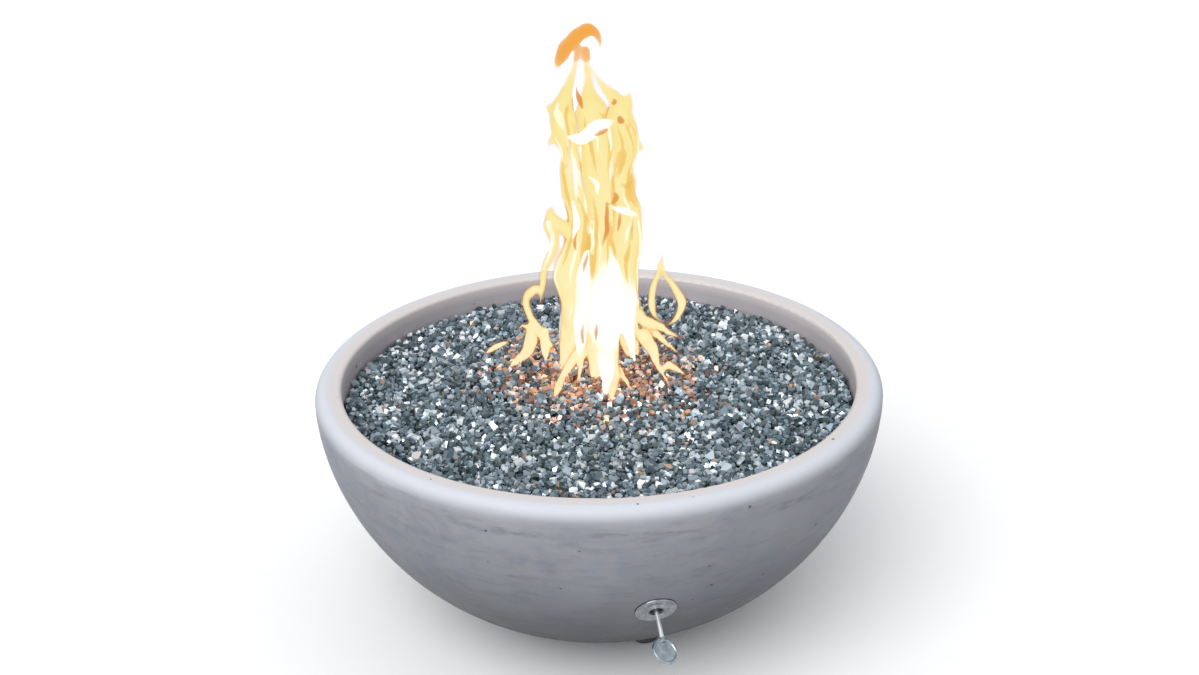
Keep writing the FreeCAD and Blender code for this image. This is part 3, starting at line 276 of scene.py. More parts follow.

# %% [markdown]
# Two dark marks: a thin line of painted shade under the lip, strong in some places and gone in others,
# and the pits, whose dark fill is painted shade. A Voronoi texture gives each pit its own spot, and its
# random colour decides how large the pit is, so most of them stay too small to see.

# %% Cement marks and relief
# Painted shade: a thin dark line under the lip, broken up by the clouds and streaks.
LIP_Z = RIM_Z - 44 * MM
lip = add(tree, "ShaderNodeMath", {0: height, 1: LIP_Z}, operation="SUBTRACT").outputs[0]
lip = add(tree, "ShaderNodeMath", {0: lip}, operation="ABSOLUTE").outputs[0]
lip_shade_band = stretch(tree, lip, 9 * MM, 1 * MM)
lip_where = stretch(tree, clouds, 0.5, 0.66)
lip_shade_share = add(tree, "ShaderNodeMath", {0: lip_shade_band, 1: lip_where}, operation="MULTIPLY").outputs[0]
lip_shade_share = add(tree, "ShaderNodeMath", {0: lip_shade_share, 1: stretch(tree, streaks, 0.4, 0.7)},
                operation="MULTIPLY").outputs[0]
wall = blend(tree, lip_shade_share, wall, linear("#55555e"))

pits = add(tree, "ShaderNodeTexVoronoi", {"Vector": place, "Scale": 1 / PIT_PITCH})
pit_luck = add(tree, "ShaderNodeSeparateColor", {0: pits.outputs["Color"]}).outputs[0]
pit_edge = stretch(tree, pit_luck, 0.5, 1.0, 0.0, PIT_SIZE / PIT_PITCH)
pit_depth = add(tree, "ShaderNodeMath", {0: pit_edge, 1: pits.outputs["Distance"]},
                operation="SUBTRACT").outputs[0]
pit_share = stretch(tree, pit_depth, 0.0, 0.02)
# Painted shade: each pit is filled with a dark colour.
wall = blend(tree, add(tree, "ShaderNodeMath", {0: pit_share, 1: 0.85}, operation="MULTIPLY").outputs[0],
             wall, linear("#404248"))
tree.links.new(wall, surface.inputs["Base Color"])
tree.links.new(stretch(tree, patches, 0.3, 0.7, 0.5, 0.68), surface.inputs["Roughness"])

relief = add(tree, "ShaderNodeMath", {0: grain, 1: 0.35, 2: streaks}, operation="MULTIPLY_ADD").outputs[0]
relief = add(tree, "ShaderNodeMath", {0: pit_share, 1: -2.5, 2: relief}, operation="MULTIPLY_ADD").outputs[0]
bump = add(tree, "ShaderNodeBump", {"Height": relief, "Strength": 0.5, "Distance": 0.5 * MM})
tree.links.new(bump.outputs[0], surface.inputs["Normal"])
dress(cement, "bowl")
print("cement nodes", len(tree.nodes))

# %% [markdown]
# The cover plate, the key and the small valve parts are polished chrome on brass or zinc. Chrome keeps
# what is round it as a mirror does, so its look is mostly its surroundings. What makes it read as real
# is that it isn't perfect: outdoors it takes a faint haze and fine scratches, which a noise puts in the
# roughness and the relief.

# %% Weathered chrome plate
HAZE = 9 * MM
SCRATCH = 0.9 * MM

def plated(name, colours, roughness):
    """A plated metal that has been outdoors: two colours, and a range of roughness."""
    material, tree, surface = start_material(name, Metallic=1.0)
    place = add(tree, "ShaderNodeTexCoord").outputs["Object"]
    haze = add(tree, "ShaderNodeTexNoise", {"Vector": place, "Scale": 1 / HAZE, "Detail": 4.0}).outputs["Fac"]
    scratch = add(tree, "ShaderNodeTexNoise", {"Vector": place, "Scale": 1 / SCRATCH,
                                               "Detail": 1.0}).outputs["Fac"]
    colour = blend(tree, stretch(tree, haze, 0.35, 0.7), linear(colours[0]), linear(colours[1]))
    tree.links.new(colour, surface.inputs["Base Color"])
    tree.links.new(stretch(tree, haze, 0.3, 0.75, *roughness), surface.inputs["Roughness"])
    bump = add(tree, "ShaderNodeBump", {"Height": scratch, "Strength": 0.12, "Distance": 0.1 * MM})
    tree.links.new(bump.outputs[0], surface.inputs["Normal"])
    return material


chrome = plated("weathered chrome plate", ("#989c9f", "#787c7f"), (0.08, 0.3))
bright = plated("bright nickel plate", ("#f2f3f4", "#dcdee0"), (0.3, 0.45))
satin = plated("satin nickel plate", ("#a3adb5", "#87929b"), (0.2, 0.38))
dress(chrome, "escutcheon", "key_socket", "valve_ball")
dress(bright, "key_rod")
dress(satin, "key_handle")
print("plated parts dressed")

# %% [markdown]
# Out of sight, the burner and its plumbing are made of a few ordinary stocks: brushed stainless sheet
# and tube, zinc plated steel, machined brass, moulded rubber, white PTFE, and a gas line of corrugated
# stainless in a yellow plastic coat. Each gets its own grain, so the parts hold up when the bowl is
# taken apart or turned over.

# %% Brushed stainless and zinc plate
def metal(name, colours, roughness, grain_size, grain_scale, bump_strength):
    """A metal with a directional grain: two colours, a range of roughness, and the grain's size."""
    material, tree, surface = start_material(name, Metallic=1.0)
    place = add(tree, "ShaderNodeTexCoord").outputs["Object"]
    grain_place = add(tree, "ShaderNodeMapping", {"Vector": place, "Scale": grain_scale}).outputs[0]
    grain = add(tree, "ShaderNodeTexNoise", {"Vector": grain_place, "Scale": 1 / grain_size,
                                             "Detail": 4.0}).outputs["Fac"]
    colour = blend(tree, stretch(tree, grain, 0.3, 0.7), linear(colours[0]), linear(colours[1]))
    tree.links.new(colour, surface.inputs["Base Color"])
    tree.links.new(stretch(tree, grain, 0.3, 0.7, *roughness), surface.inputs["Roughness"])
    bump = add(tree, "ShaderNodeBump", {"Height": grain, "Strength": bump_strength, "Distance": 0.1 * MM})
    tree.links.new(bump.outputs[0], surface.inputs["Normal"])
    return material


stainless = metal("brushed stainless steel", ("#9d9d9e", "#b4b4b3"), (0.28, 0.42), 1.2 * MM,
                  (1.0, 12.0, 12.0), 0.3)
zinc = metal("zinc plated steel", ("#9ea3a8", "#bcc0c2"), (0.3, 0.5), 6 * MM, (1.0, 1.0, 1.0), 0.15)
brass = metal("machined brass", ("#b08d4c", "#c9a765"), (0.18, 0.34), 1.5 * MM, (1.0, 1.0, 8.0), 0.2)
dress(stainless, "burner_pan", "burner_ring", "burner_crossbar", "burner_hub")
dress(zinc, "burner_nipple", "pan_washer", "pan_locknut", "key_sleeve", "sleeve_washer",
      "sleeve_locknut", "foot_screws")
dress(brass, "air_mixer", "inlet_fitting", "inlet_locknut", "valve_body", "valve_end", "valve_stem",
      "packing_nut", "supply_hose_nuts", "burner_hose_nuts", "foot_inserts")
print("metals dressed")


# %% Rubber, PTFE and the coated gas line
def moulded(name, colours, roughness, speck_size, bump_strength, ribs=0.0):
    """A moulded plastic or rubber: two colours, a range of roughness, its speckle, and any ribs."""
    material, tree, surface = start_material(name, IOR=1.5)
    place = add(tree, "ShaderNodeTexCoord").outputs["Object"]
    speck = add(tree, "ShaderNodeTexNoise", {"Vector": place, "Scale": 1 / speck_size,
                                             "Detail": 4.0}).outputs["Fac"]
    colour = blend(tree, stretch(tree, speck, 0.3, 0.7), linear(colours[0]), linear(colours[1]))
    tree.links.new(colour, surface.inputs["Base Color"])
    tree.links.new(stretch(tree, speck, 0.3, 0.7, *roughness), surface.inputs["Roughness"])
    relief = speck
    if ribs:
        wave = add(tree, "ShaderNodeTexWave", {"Vector": place, "Scale": 1 / ribs},
                   bands_direction="DIAGONAL").outputs["Fac"]
        relief = add(tree, "ShaderNodeMath", {0: wave, 1: 6.0, 2: speck}, operation="MULTIPLY_ADD").outputs[0]
    bump = add(tree, "ShaderNodeBump", {"Height": relief, "Strength": bump_strength, "Distance": 0.2 * MM})
    tree.links.new(bump.outputs[0], surface.inputs["Normal"])
    return material


RIB_PITCH = 5 * MM
rubber = moulded("grey moulded rubber", ("#47484b", "#5a5b5e"), (0.65, 0.85), 3 * MM, 0.4)
ptfe = moulded("turned PTFE", ("#e4e3df", "#f0efec"), (0.4, 0.5), 4 * MM, 0.1)
coat = moulded("yellow coat on a corrugated line", ("#c2a12c", "#d3b445"), (0.3, 0.45), 7 * MM, 0.6,
               RIB_PITCH * 3)
dress(rubber, "foot_front", "foot_back", "foot_left", "inlet_gasket")
dress(ptfe, "valve_seats", "stem_seal")
dress(coat, "supply_hose", "burner_hose")
bare = [name for name, node in nodes.items() if name != "fire_glass" and not node.data.materials]
print("nodes without a finish:", bare)

# %% [markdown]
# Fire glass is tempered sheet glass with a mirror coat on one side, tumbled until it falls into blunt
# chunks. Each chunk has two flat faces that were the faces of the sheet, one of them coated, and four
# to six broken sides. That is easy to build: a random convex outline, drawn out to the sheet's
# thickness, with the corners of one face pushed about a little.

# %% Chunk shapes
CHUNK_KINDS = 28
CHUNK_SIZE = 11.5 * MM
CHUNK_THICKNESS = 6.5 * MM
LARGE_SHARE = 0.06
LARGE_SIZE = 1.5
draw = np.random.default_rng(20)


def chunk_shape():
    """One chunk about its own middle: corners, and faces with the coated one first."""
    sides = int(draw.integers(4, 7))
    turns = (np.arange(sides) + draw.uniform(-0.32, 0.32, sides)) * 2 * math.pi / sides
    reach = CHUNK_SIZE / 2 * draw.uniform(0.72, 1.12, sides)
    outline = np.stack([np.cos(turns) * reach, np.sin(turns) * reach * draw.uniform(0.6, 1.0)], 1)
    half = CHUNK_THICKNESS / 2 * draw.uniform(0.6, 1.15)
    top = np.column_stack([outline, half + draw.uniform(-0.08, 0.08, sides) * CHUNK_SIZE])
    low = np.column_stack([outline * draw.uniform(0.75, 1.2, (sides, 1)), np.full(sides, -half)])
    faces = [list(range(sides)), list(range(2 * sides - 1, sides - 1, -1))]
    for number in range(sides):
        following = (number + 1) % sides
        faces.append([number, sides + number, sides + following, following])
    return np.vstack([top, low]), faces


shapes = [chunk_shape() for _ in range(CHUNK_KINDS)]
print("chunk shapes", len(shapes))

# %% [markdown]
# The chunks lie on a jittered grid in two layers, the upper one loose and tumbled. Scattering them on a
# grid rather than with a physics run keeps the file quick, and nothing shows of the difference, because
# only the top of the heap is seen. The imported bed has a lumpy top, and the layers follow its lumps by
# half. Every draw comes from one seeded source, so each run is the same.

# %% Colours of the glass
GLASS_TINTS = (
    ("#46545a", 0.24), ("#5d6c75", 0.23), ("#7a8a94", 0.19), ("#99a7b1", 0.14), ("#bac5cb", 0.10),
    ("#dde3e6", 0.05), ("#ffffff", 0.035), ("#a58c78", 0.01), ("#c8ab88", 0.005),
)
# Painted firelight: chunks near the fire get warm tints that stand for the fire's glow reflected in them.
FIRELIGHT_TINTS = ("#a67b69", "#cca38f", "#efdccf", "#80605a", "#d69d76")
FIRE_MIDDLE = np.array([-0.005, 0.075])
FIRELIGHT_REACH = 0.165
tint_colours = np.array([linear(tint)[:3] for tint, _ in GLASS_TINTS])
tint_shares = np.array([share for _, share in GLASS_TINTS])
firelight_colours = np.array([linear(tint)[:3] for tint in FIRELIGHT_TINTS])


def chunk_colours(spots):
    """A tint for each chunk, with painted firelight: warmer tints towards the fire."""
    picked = tint_colours[draw.choice(len(tint_shares), len(spots), p=tint_shares / tint_shares.sum())]
    away = np.hypot(*(spots[:, :2] - FIRE_MIDDLE).T) / FIRELIGHT_REACH
    firelit = draw.uniform(0, 1, len(spots)) < 0.75 * np.clip(1.35 - away, 0, 1)
    picked[firelit] = firelight_colours[draw.integers(0, len(firelight_colours), firelit.sum())]
    return picked


print("tint shares add up to", round(float(tint_shares.sum()), 2))


# %% Scatter the chunks
LUMP_SHARE = 0.5
packed_bed = nodes["fire_glass"].data
bed_tree = BVHTree.FromPolygons([corner.co for corner in packed_bed.vertices],
                                [face.vertices for face in packed_bed.polygons])


def lump_height(x, y):
    """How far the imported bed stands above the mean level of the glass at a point, by its share."""
    hit = bed_tree.ray_cast(Vector((x, y, RIM_Z)), Vector((0, 0, -1)))[0]
    return LUMP_SHARE * (hit.z - GLASS_Z) if hit else 0.0


def grid_spots(pitch, edge, jitter):
    """Points of a triangular grid inside a circle, each moved by up to the jitter."""
    rows = int(edge / (pitch * 0.866)) + 1
    columns = int(edge / pitch) + 2
    spots = [((c + (r % 2) / 2) * pitch, r * pitch * 0.866)
             for r in range(-rows, rows + 1) for c in range(-columns, columns + 1)]
    spots = np.array(spots) + draw.uniform(-jitter, jitter, (len(spots), 2))
    return spots[np.hypot(spots[:, 0], spots[:, 1]) < edge]


def turned(yaw, lean, lean_way):
    """A rotation: a spin about the upright axis, then a lean about a level one."""
    spin = Matrix.Rotation(yaw, 3, "Z")
    return np.array(Matrix.Rotation(lean, 3, Vector((math.cos(lean_way), math.sin(lean_way), 0))) @ spin)


def heap(name, pitch, middle_z, depth, lean_limit):
    """A layer of chunks as one mesh, with a tint and a coat on every face."""
    spots = grid_spots(pitch, GLASS_R - CHUNK_SIZE * 0.5, pitch * 0.42)
    tints = chunk_colours(spots)
    corners, faces, face_tints, face_coats = [], [], [], []
    count = 0
    for spot, tint in zip(spots, tints):
        shape, shape_faces = shapes[draw.integers(0, CHUNK_KINDS)]
        lean = math.radians(lean_limit) * draw.uniform(0, 1) ** 0.8
        turn = turned(draw.uniform(0, 2 * math.pi), lean, draw.uniform(0, 2 * math.pi))
        if draw.uniform(0, 1) < 0.45:
            turn = turn @ np.diag([1.0, -1.0, -1.0])
        z = middle_z + lump_height(*spot) + draw.uniform(-0.5, 0.5) * depth
        size = draw.uniform(0.7, 1.25) * (LARGE_SIZE if draw.uniform(0, 1) < LARGE_SHARE else 1.0)
        corners.append(shape @ turn.T * size + (spot[0], spot[1], z))
        coat = draw.uniform(0.55, 1.0)
        for number, face in enumerate(shape_faces):
            faces.append([corner + count for corner in face])
            shade = draw.uniform(0.75, 1.3)
            face_tints.append((*np.clip(tint * shade, 0, 1), 1.0))
            face_coats.append(coat if number == 0 else draw.uniform(0, 0.35))
        count += len(shape)
    mesh = bpy.data.meshes.new(name)
    mesh.from_pydata(np.vstack(corners).tolist(), [], faces)
    mesh.attributes.new("tint", "FLOAT_COLOR", "FACE").data.foreach_set("color", np.ravel(face_tints))
    mesh.attributes.new("coat", "FLOAT", "FACE").data.foreach_set("value", face_coats)
    mesh.update()
    heap_object = bpy.data.objects.new(name, mesh)
    bpy.context.scene.collection.objects.link(heap_object)
    print(name, len(spots), "chunks", len(faces), "faces")
    return heap_object


top_layer = heap("fire_glass_top", 9.6 * MM, GLASS_Z - 3.5 * MM, 4 * MM, 60)
low_layer = heap("fire_glass_low", 9.0 * MM, GLASS_Z - 9.5 * MM, 3 * MM, 40)

# %% [markdown]
# The glass itself is hard and very smooth, so most of what it shows is reflection. The coat is treated
# as a thin metal of the chunk's tint, and the broken sides as bare glass with a weak mirror.

# %% Mirror-coated glass
glass, tree, surface = start_material("mirror-coated tempered glass", IOR=1.52)
tint = add(tree, "ShaderNodeAttribute", attribute_name="tint").outputs["Color"]
coated = add(tree, "ShaderNodeAttribute", attribute_name="coat").outputs["Fac"]
place = add(tree, "ShaderNodeTexCoord").outputs["Object"]
CHIP = 2.5 * MM
chips = add(tree, "ShaderNodeTexNoise", {"Vector": place, "Scale": 1 / CHIP, "Detail": 3.0}).outputs["Fac"]
tree.links.new(tint, surface.inputs["Base Color"])
tree.links.new(coated, surface.inputs["Metallic"])
tree.links.new(stretch(tree, chips, 0.3, 0.75, 0.04, 0.3), surface.inputs["Roughness"])
bump = add(tree, "ShaderNodeBump", {"Height": chips, "Strength": 0.35, "Distance": 0.4 * MM})
tree.links.new(bump.outputs[0], surface.inputs["Normal"])
for layer in (top_layer, low_layer):
    layer.data.materials.append(glass)
    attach(layer, "base")
print("glass dressed")

# %% [markdown]
# Under the two layers the heap goes on down to the pan. Nobody sees it, so it stays a solid: a copy of
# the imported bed, with its burner room, whose top is let down so that the chunks lie in it.

# %% Bed under the chunks
BED_DROP = 14 * MM
LOWEST_LUMP = 8 * MM
bed_mesh = packed_bed.copy()
for corner in bed_mesh.vertices:
    if corner.co.z > GLASS_Z - LOWEST_LUMP:
        corner.co.z -= BED_DROP
bed_mesh.materials.clear()
bed = bpy.data.objects.new("fire_glass_bed", bed_mesh)
bpy.context.scene.collection.objects.link(bed)
# Painted shade: the bed is near black, darkest between the cells, standing for the shade deep in the heap.
bed_glass, tree, surface = start_material("packed glass below", Base_Color=linear("#15191c"), Roughness=0.5)
place = add(tree, "ShaderNodeTexCoord").outputs["Object"]
cells = add(tree, "ShaderNodeTexVoronoi", {"Vector": place, "Scale": 1 / CHUNK_SIZE})
depth_shade = blend(tree, cells.outputs["Distance"], linear("#262d32"), linear("#0c0f11"))
tree.links.new(depth_shade, surface.inputs["Base Color"])
bump = add(tree, "ShaderNodeBump", {"Height": cells.outputs["Distance"], "Distance": 4 * MM})
tree.links.new(bump.outputs[0], surface.inputs["Normal"])
bed.data.materials.append(bed_glass)
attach(bed, "base")
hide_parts("fire_glass")
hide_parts("fire_glass")
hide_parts("fire_glass")
print("bed lowered by", BED_DROP, "m")

# %% [markdown]
# The fire is burning gas, not a piece of the bowl, so it is stage dressing, as the floor is: nothing
# rides on it. It is still worth building with care, because it is most of what one sees. A gas flame
# over glass is a bundle of tongues. They start between the chunks, lean together into a column, and tear
# into curls at the top. Each tongue is a line of listed points: x and y from the middle of the bowl,
# height above the glass, and half the tongue's thickness, all in millimetres.

# %% Tongues of the fire
TONGUES = {
    "left column": [(-55, 109, 2, 12), (-48, 95, 64, 18.5), (-41, 85, 126, 23), (-45, 95, 171, 26),
                    (-34, 100, 215, 21), (-25, 105, 265, 21), (-31, 108, 309, 24), (-37, 110, 345, 21),
                    (-40, 112, 372, 16), (-50, 112, 406, 22.5), (-54, 110, 439, 19), (-45, 104, 472, 11),
                    (-34, 98, 502, 6.5), (-27, 94, 529, 4.5), (-25, 92, 548, 4.5)],
    "middle column": [(2, 68, 2, 18.5), (6, 75, 54, 28), (4, 85, 116, 34.5), (9, 88, 173, 34.5),
                      (15, 88, 222, 29), (15, 86, 272, 32), (11, 84, 317, 30.5), (7, 84, 359, 32),
                      (2, 86, 400, 31.5), (-5, 88, 439, 27), (-8, 90, 471, 12.5), (-9, 92, 497, 6.5),
                      (-12, 92, 522, 5.5), (-14, 92, 545, 6)],
    "right column": [(57, 146, 2, 13.5), (48, 110, 70, 21.5), (42, 90, 137, 26.5), (42, 84, 192, 26),
                     (49, 78, 240, 21), (50, 72, 283, 19), (39, 68, 322, 19), (38, 66, 363, 20.5),
                     (46, 66, 403, 22), (39, 68, 442, 20.5), (36, 72, 466, 14), (17, 80, 484, 8),
                     (4, 86, 501, 4.5), (-4, 90, 517, 3)],
    "right shoulder": [(17, 85, 420, 19), (41, 76, 452, 15.5), (53, 72, 481, 4.5)],
    "right bulge": [(32, 78, 412, 17.5), (56, 72, 396, 12.5), (73, 70, 385, 3)],
    "right bump": [(35, 76, 350, 14.5), (54, 72, 334, 8), (62, 70, 321, 3)],
    "right edge": [(41, 80, 304, 13), (60, 76, 295, 9.5), (68, 74, 277, 6.5), (66, 76, 233, 6.5),
                   (60, 80, 193, 6.5)],
    "left bulge": [(-37, 105, 428, 12.5), (-62, 112, 439, 12.5), (-75, 114, 445, 6.5)],
    "left notch": [(-53, 108, 400, 12.5), (-70, 112, 389, 6.5), (-75, 114, 380, 3)],
    "hook": [(-60, 84, 519, 2.5), (-52, 86, 536, 8), (-41, 88, 554, 11.5), (-26, 92, 567, 11.5),
             (-9, 96, 574, 10), (3, 98, 569, 7), (9, 100, 557, 4), (9, 100, 546, 2)],
    "left arm": [(-32, 98, 226, 13), (-51, 90, 252, 13), (-72, 84, 263, 13), (-76, 82, 278, 8),
                 (-73, 80, 291, 2.5)],
    "left leg": [(-77, 86, 256, 13), (-71, 90, 230, 9.5), (-70, 94, 212, 8), (-77, 100, 193, 8),
                 (-86, 106, 173, 6.5), (-90, 112, 149, 6.5), (-94, 118, 125, 5), (-98, 122, 105, 2.5)],
    "left swirl": [(-95, 118, 134, 8.5), (-109, 122, 127, 8.5), (-121, 126, 111, 6.5),
                   (-119, 130, 87, 6.5), (-109, 132, 65, 8.5), (-95, 126, 43, 8.5), (-78, 120, 27, 5)],
    "left foot": [(-114, 132, 59, 8.5), (-114, 140, 26, 12), (-123, 148, 2, 10), (-137, 116, 2, 7.5),
                  (-148, 97, 2, 3.5)],
    "left stub": [(-93, 128, 53, 8.5), (-90, 126, 25, 10), (-89, 115, 2, 3.5)],
    "left nub": [(-113, 132, 54, 6.5), (-126, 134, 58, 5), (-135, 136, 52, 2.5)],
    "stray flame": [(-190, 150, 2, 3.5), (-179, 170, 2, 6), (-164, 186, 2, 5), (-152, 198, 2, 2)],
    "right branch": [(63, 90, 100, 10), (78, 94, 84, 10), (96, 98, 69, 8.5), (118, 100, 55, 6),
                     (139, 100, 46, 2)],
    "right thorn": [(78, 94, 84, 6.5), (73, 96, 107, 4), (70, 98, 127, 1.5)],
    "right long root": [(83, 120, 58, 10), (108, 140, 26, 6), (130, 152, 2, 3.5), (144, 127, 2, 1.5)],
    "right root": [(74, 95, 56, 13.5), (91, 105, 20, 10), (100, 81, 2, 5), (112, 30, 2, 3.5),
                   (117, -7, 2, 1.5)],
    "right flare": [(107, 65, 2, 2.5), (116, 92, 2, 7.5), (129, 76, 2, 6), (143, 56, 2, 3),
                    (152, 44, 2, 1.5)],
    "front root": [(16, 70, 50, 20), (20, 55, 26, 15), (23, 37, 2, 11.5), (21, -8, 2, 7.5),
                   (21, -37, 2, 3)],
    "front thorn": [(34, 75, 2, 6.5), (48, 17, 2, 4), (57, -20, 2, 1.5)],
    "front left root": [(-27, 80, 37, 11.5), (-46, 75, 16, 9), (-59, 55, 2, 6.5), (-67, 10, 2, 7.5),
                        (-71, -23, 2, 3)],
    "thin root": [(-25, 80, 46, 8.5), (-29, 70, 20, 6.5), (-34, 39, 2, 3.5), (-39, -6, 2, 1.5)],
    "loop left": [(109, 150, 177, 2.5), (108, 150, 161, 5), (104, 150, 139, 6), (93, 150, 110, 7.5),
                  (93, 150, 85, 7.5), (99, 150, 63, 4), (113, 150, 49, 2.5)],
    "loop right": [(108, 150, 164, 3.5), (116, 150, 139, 5), (131, 150, 117, 7.5), (140, 150, 93, 8.5),
                   (133, 150, 69, 6.5), (121, 150, 53, 4), (113, 150, 49, 2.5)],
}
print("tongues", len(TONGUES))

# %% Cooler and hotter streaks inside the fire
COOL_STREAKS = {
    "streak a": [(15, 48, 308, 3), (15, 46, 285, 5), (16, 46, 261, 5), (8, 46, 236, 2.5)],
    "streak b": [(37, 46, 293, 2.5), (37, 46, 278, 4), (35, 46, 259, 2.5)],
    "streak c": [(56, 58, 276, 2), (55, 58, 261, 3), (55, 58, 240, 2)],
    "streak d": [(-16, 58, 217, 2.5), (-20, 58, 202, 4), (-23, 58, 186, 2.5)],
    "streak e": [(-33, 72, 248, 2.5), (-35, 72, 231, 4), (-31, 72, 215, 2.5)],
    "streak f": [(-2, 40, 100, 2.5), (-2, 40, 86, 4), (-2, 40, 72, 2.5)],
    "spot a": [(33, 50, 480, 3), (33, 50, 473, 5.5)],
    "spot b": [(39, 46, 450, 4.5), (42, 46, 442, 6)],
    "spot c": [(20, 50, 428, 4), (9, 50, 422, 5.5), (-2, 50, 419, 3)],
    "spot d": [(-10, 52, 397, 2.5), (-10, 52, 393, 3)],
    "spot e": [(-28, 84, 490, 2.5), (-23, 78, 472, 5.5), (-17, 70, 458, 3)],
    "spot f": [(55, 58, 337, 3), (47, 56, 331, 4.5), (38, 56, 337, 2.5)],
    "spot g": [(27, 52, 325, 2.5), (31, 50, 317, 5.5), (22, 50, 307, 3)],
    "spot h": [(-23, 60, 104, 2), (-25, 60, 83, 4), (-25, 60, 57, 3.5)],
}
HOT_STREAKS = {
    "white a": [(-44, 84, 402, 3), (-24, 66, 412, 9), (-4, 60, 424, 13), (12, 58, 432, 11), (30, 58, 442, 5)],
    "white b": [(-11, 58, 350, 2.5), (1, 56, 340, 4.5), (1, 56, 317, 2.5)],
    "white c": [(-33, 88, 367, 2.5), (-32, 86, 334, 5), (-31, 84, 300, 2.5)],
    "white d": [(22, 54, 302, 2.5), (44, 54, 292, 6.5), (65, 60, 279, 2.5)],
    "white e": [(-39, 88, 299, 3), (-32, 84, 263, 6.5), (-39, 80, 237, 3)],
    "white f": [(-80, 76, 266, 5), (-74, 84, 236, 5), (-77, 94, 200, 4), (-88, 104, 172, 2.5)],
    "core": [(11, -8, 2, 5), (14, 40, 19, 12.5), (13, 66, 50, 21), (12, 68, 95, 31), (14, 72, 138, 33),
             (20, 74, 177, 27), (24, 76, 207, 16), (21, 78, 240, 6)],
    "core left": [(-34, 76, 10, 3), (-31, 74, 45, 7.5), (-25, 74, 92, 17), (-21, 76, 135, 21), (-17, 78, 175, 16.5),
                  (-13, 80, 210, 6.5)],
    "core right": [(60, 96, 8, 3), (52, 88, 50, 8), (44, 80, 110, 19), (43, 78, 155, 18.5), (46, 78, 200, 8)],
}
print("streaks", len(COOL_STREAKS), "and", len(HOT_STREAKS))

# %% [markdown]
# A tongue becomes solid as a string of beads, each as thick as the flame is there. The line through the
# points is a Catmull-Rom curve, which passes through every point, and the beads stand so close that
# they overlap. A voxel remesh then melts all the beads into one skin, a few rounds of smoothing take
# off what is left of them, and a slow noise bends the skin so that no edge stays ruled.

# %% Skins from strings of beads
BEAD_STEP = 0.3
SKIN_VOXEL = 2.6 * MM
SWAY = 5 * MM
SWAY_PITCH = 38 * MM
FLICKER = 1.6 * MM
FLICKER_PITCH = 11 * MM


def curve_through(points):
    """Points close together on the curve through the given ones, each with its thickness."""
    ends = np.vstack([2 * points[0] - points[1], points, 2 * points[-1] - points[-2]])
    beads = []
    for before, start, end, after in zip(ends, ends[1:], ends[2:], ends[3:]):
        step = max(BEAD_STEP * min(start[3], end[3]), 1.2 * MM)
        count = max(int(np.linalg.norm(end[:3] - start[:3]) / step), 1)
        for share in np.arange(count) / count:
            bend = (2 * before - 5 * start + 4 * end - after) * share ** 2
            twist = (3 * start - before - 3 * end + after) * share ** 3
            beads.append((2 * start + (end - before) * share + bend + twist) / 2)
    return beads


def bead_ball():
    """A small ball of radius one: its corners and its faces."""
    ball = bmesh.new()
    bmesh.ops.create_icosphere(ball, subdivisions=2, radius=1.0)
    corners = np.array([corner.co for corner in ball.verts])
    faces = np.array([[corner.index for corner in face.verts] for face in ball.faces])
    ball.free()
    return corners, faces


def skin(name, tongues, thinner=0.0, narrowing=0.0, heights=(0, math.inf)):
    """One skin round the beads between two heights, made thinner by so much, and more so higher up."""
    beads = np.array([bead for points in tongues.values()
                      for bead in curve_through(np.array(points, dtype=float) * MM)])
    beads[:, 3] -= thinner + narrowing * beads[:, 2]
    beads = beads[(beads[:, 3] > SKIN_VOXEL / 2) & (beads[:, 2] > heights[0]) & (beads[:, 2] < heights[1])]
    ball, ball_faces = bead_ball()
    corners = beads[:, None, :3] + ball * beads[:, None, 3:] + (0, 0, GLASS_Z)
    faces = ball_faces + np.arange(len(beads))[:, None, None] * len(ball)
    mesh = bpy.data.meshes.new(name)
    mesh.from_pydata(corners.reshape(-1, 3).tolist(), [], faces.reshape(-1, 3).tolist())
    made = bpy.data.objects.new(name, mesh)
    bpy.context.scene.collection.objects.link(made)
    remesh = made.modifiers.new("melt", "REMESH")
    remesh.mode = "VOXEL"
    remesh.voxel_size = SKIN_VOXEL
    relax = made.modifiers.new("relax", "SMOOTH")
    relax.iterations = 4
    relax.factor = 0.6
    melted = made.evaluated_get(bpy.context.evaluated_depsgraph_get())
    made.data = bpy.data.meshes.new_from_object(melted)
    made.modifiers.clear()
    for corner in made.data.vertices:
        stretched = Vector((corner.co.x, corner.co.y, corner.co.z / 2))
        sway = noise.noise_vector(stretched / SWAY_PITCH) * SWAY
        flicker = noise.noise_vector(stretched / FLICKER_PITCH) * FLICKER
        corner.co += sway * min(max(corner.co.z - GLASS_Z, 0) / (60 * MM), 1) + flicker
    print(name, len(beads), "beads", len(made.data.polygons), "faces")
    return made


# %% [markdown]
# Inside the column the gas runs in fine upright threads, some paler and some deeper in colour. Each
# thread follows one of the three columns for a while, just under its skin, and thins out at both ends.

# %% Threads of gas
COLUMNS = ("left column", "middle column", "right column")
THREAD_LENGTH = (40, 130)
THREAD_THICKNESS = (2.6, 4.2)
THREAD_TWIST = 0.5
THREAD_DEPTH = 1.0
THREAD_TIP = 0.12
BODY_TOP = 528 * MM
thread_draw = np.random.default_rng(7)


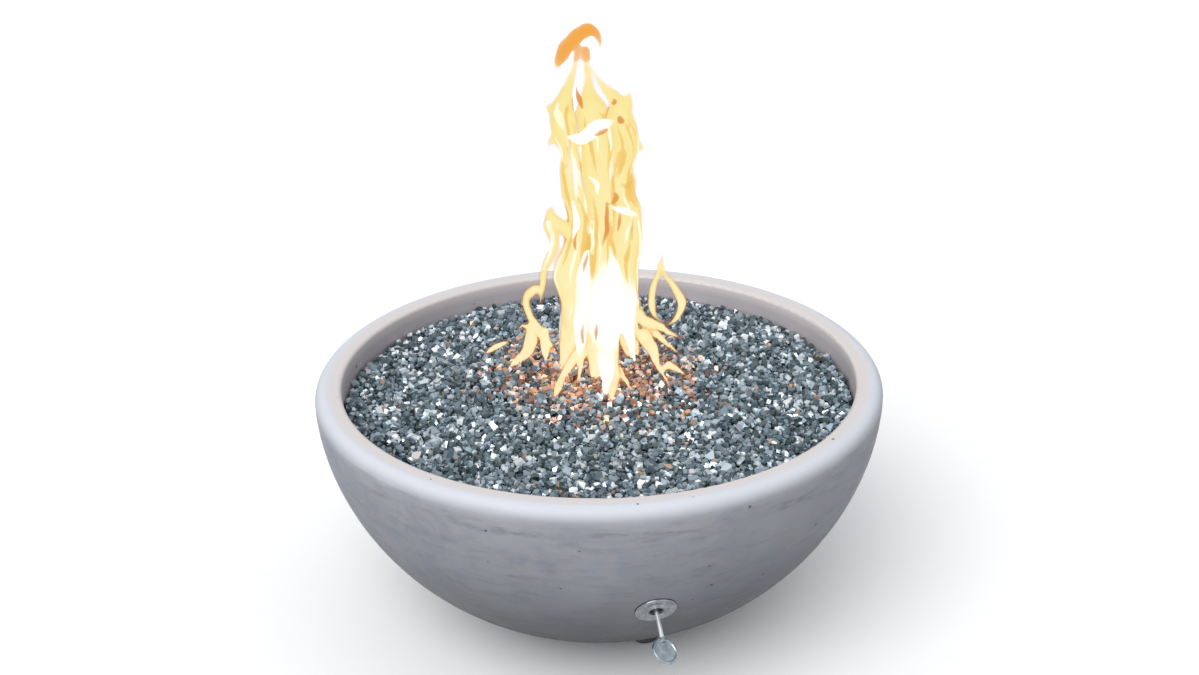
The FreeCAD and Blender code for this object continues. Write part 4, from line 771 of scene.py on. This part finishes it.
def threads(count, lowest, highest):
    """Thin streaks along the columns, starting between two heights in mm."""
    made = {}
    for number in range(count):
        column = np.array(TONGUES[COLUMNS[thread_draw.integers(0, len(COLUMNS))]], dtype=float)
        start = thread_draw.uniform(lowest, highest)
        heights = start + thread_draw.uniform(*THREAD_LENGTH) * np.linspace(0, 1, 6)
        heights = heights[heights < column[-4, 2]]
        if len(heights) < 4:
            continue
        along = np.linspace(0, 1, len(heights))
        turn = thread_draw.uniform(0, 2 * math.pi) + along * thread_draw.uniform(-THREAD_TWIST, THREAD_TWIST)
        x, y, thick = (np.interp(heights, column[:, 2], column[:, axis]) for axis in (0, 1, 3))
        out = THREAD_DEPTH * thick
        taper = np.sin((THREAD_TIP + (1 - 2 * THREAD_TIP) * along) * math.pi)
        made[number] = np.column_stack([x + out * np.cos(turn), y + out * np.sin(turn), heights,
                                        thread_draw.uniform(*THREAD_THICKNESS) * taper])
    return made


fire = {
    "fire_edge": skin("fire_edge", TONGUES, -1.8 * MM),
    "fire_body": skin("fire_body", TONGUES, 0.9 * MM, heights=(0, BODY_TOP)),
    "fire_tips": skin("fire_tips", TONGUES, -1.0 * MM, heights=(BODY_TOP, math.inf)),
    "fire_base": skin("fire_base", TONGUES, 1.2 * MM, narrowing=0.015, heights=(0, BODY_TOP)),
    "fire_core": skin("fire_core", HOT_STREAKS),
    "fire_streaks": skin("fire_streaks", COOL_STREAKS),
    "fire_amber_threads": skin("fire_amber_threads", threads(90, 120, 440)),
    "fire_pale_threads": skin("fire_pale_threads", threads(90, 10, 440)),
}

# %% [markdown]
# Gas glows through its whole depth, so the fire has no surface at all: each skin is filled with a
# volume that takes away what is behind it and adds its own light at the same rate. A thick part then
# shows the full colour and a thin edge fades out, which no surface shader does. The three colours are
# those of soot as it cools: nearly white in the core, pale yellow in the body, orange at the edges.

# %% Glowing gas
def glowing_gas(name, colour, level, density):
    """A gas that hides what is behind it and glows, both at a rate of so much per metre."""
    material = bpy.data.materials.new(name)
    material.use_nodes = True
    tree = material.node_tree
    tree.nodes.clear()
    dim = add(tree, "ShaderNodeVolumeAbsorption", {"Color": (0.0, 0.0, 0.0, 1.0), "Density": density})
    glow = add(tree, "ShaderNodeEmission", {"Color": linear(colour), "Strength": level * density})
    both = add(tree, "ShaderNodeAddShader", {0: dim.outputs[0], 1: glow.outputs[0]})
    add(tree, "ShaderNodeOutputMaterial", {"Volume": both.outputs[0]})
    return material


GASES = {
    "fire_edge": glowing_gas("cooling soot", "#dd7f38", 1.0, 26.0),
    "fire_body": glowing_gas("burning gas", "#fdf4a4", 1.03, 210.0),
    "fire_tips": glowing_gas("flame tips", "#f7b045", 1.0, 150.0),
    "fire_base": glowing_gas("pale gas at the base", "#fffbdc", 1.08, 450.0),
    "fire_core": glowing_gas("white-hot gas", "#fffdf0", 1.15, 420.0),
    "fire_streaks": glowing_gas("cooler streaks", "#e2934a", 1.0, 260.0),
    "fire_amber_threads": glowing_gas("amber threads", "#f4c566", 1.0, 260.0),
    "fire_pale_threads": glowing_gas("pale threads", "#fffce4", 1.1, 320.0),
}
for name, flame in fire.items():
    flame.data.materials.append(GASES[name])
    flame.visible_shadow = False
    flame.visible_diffuse = False
    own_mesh(flame)
print("fire lit")
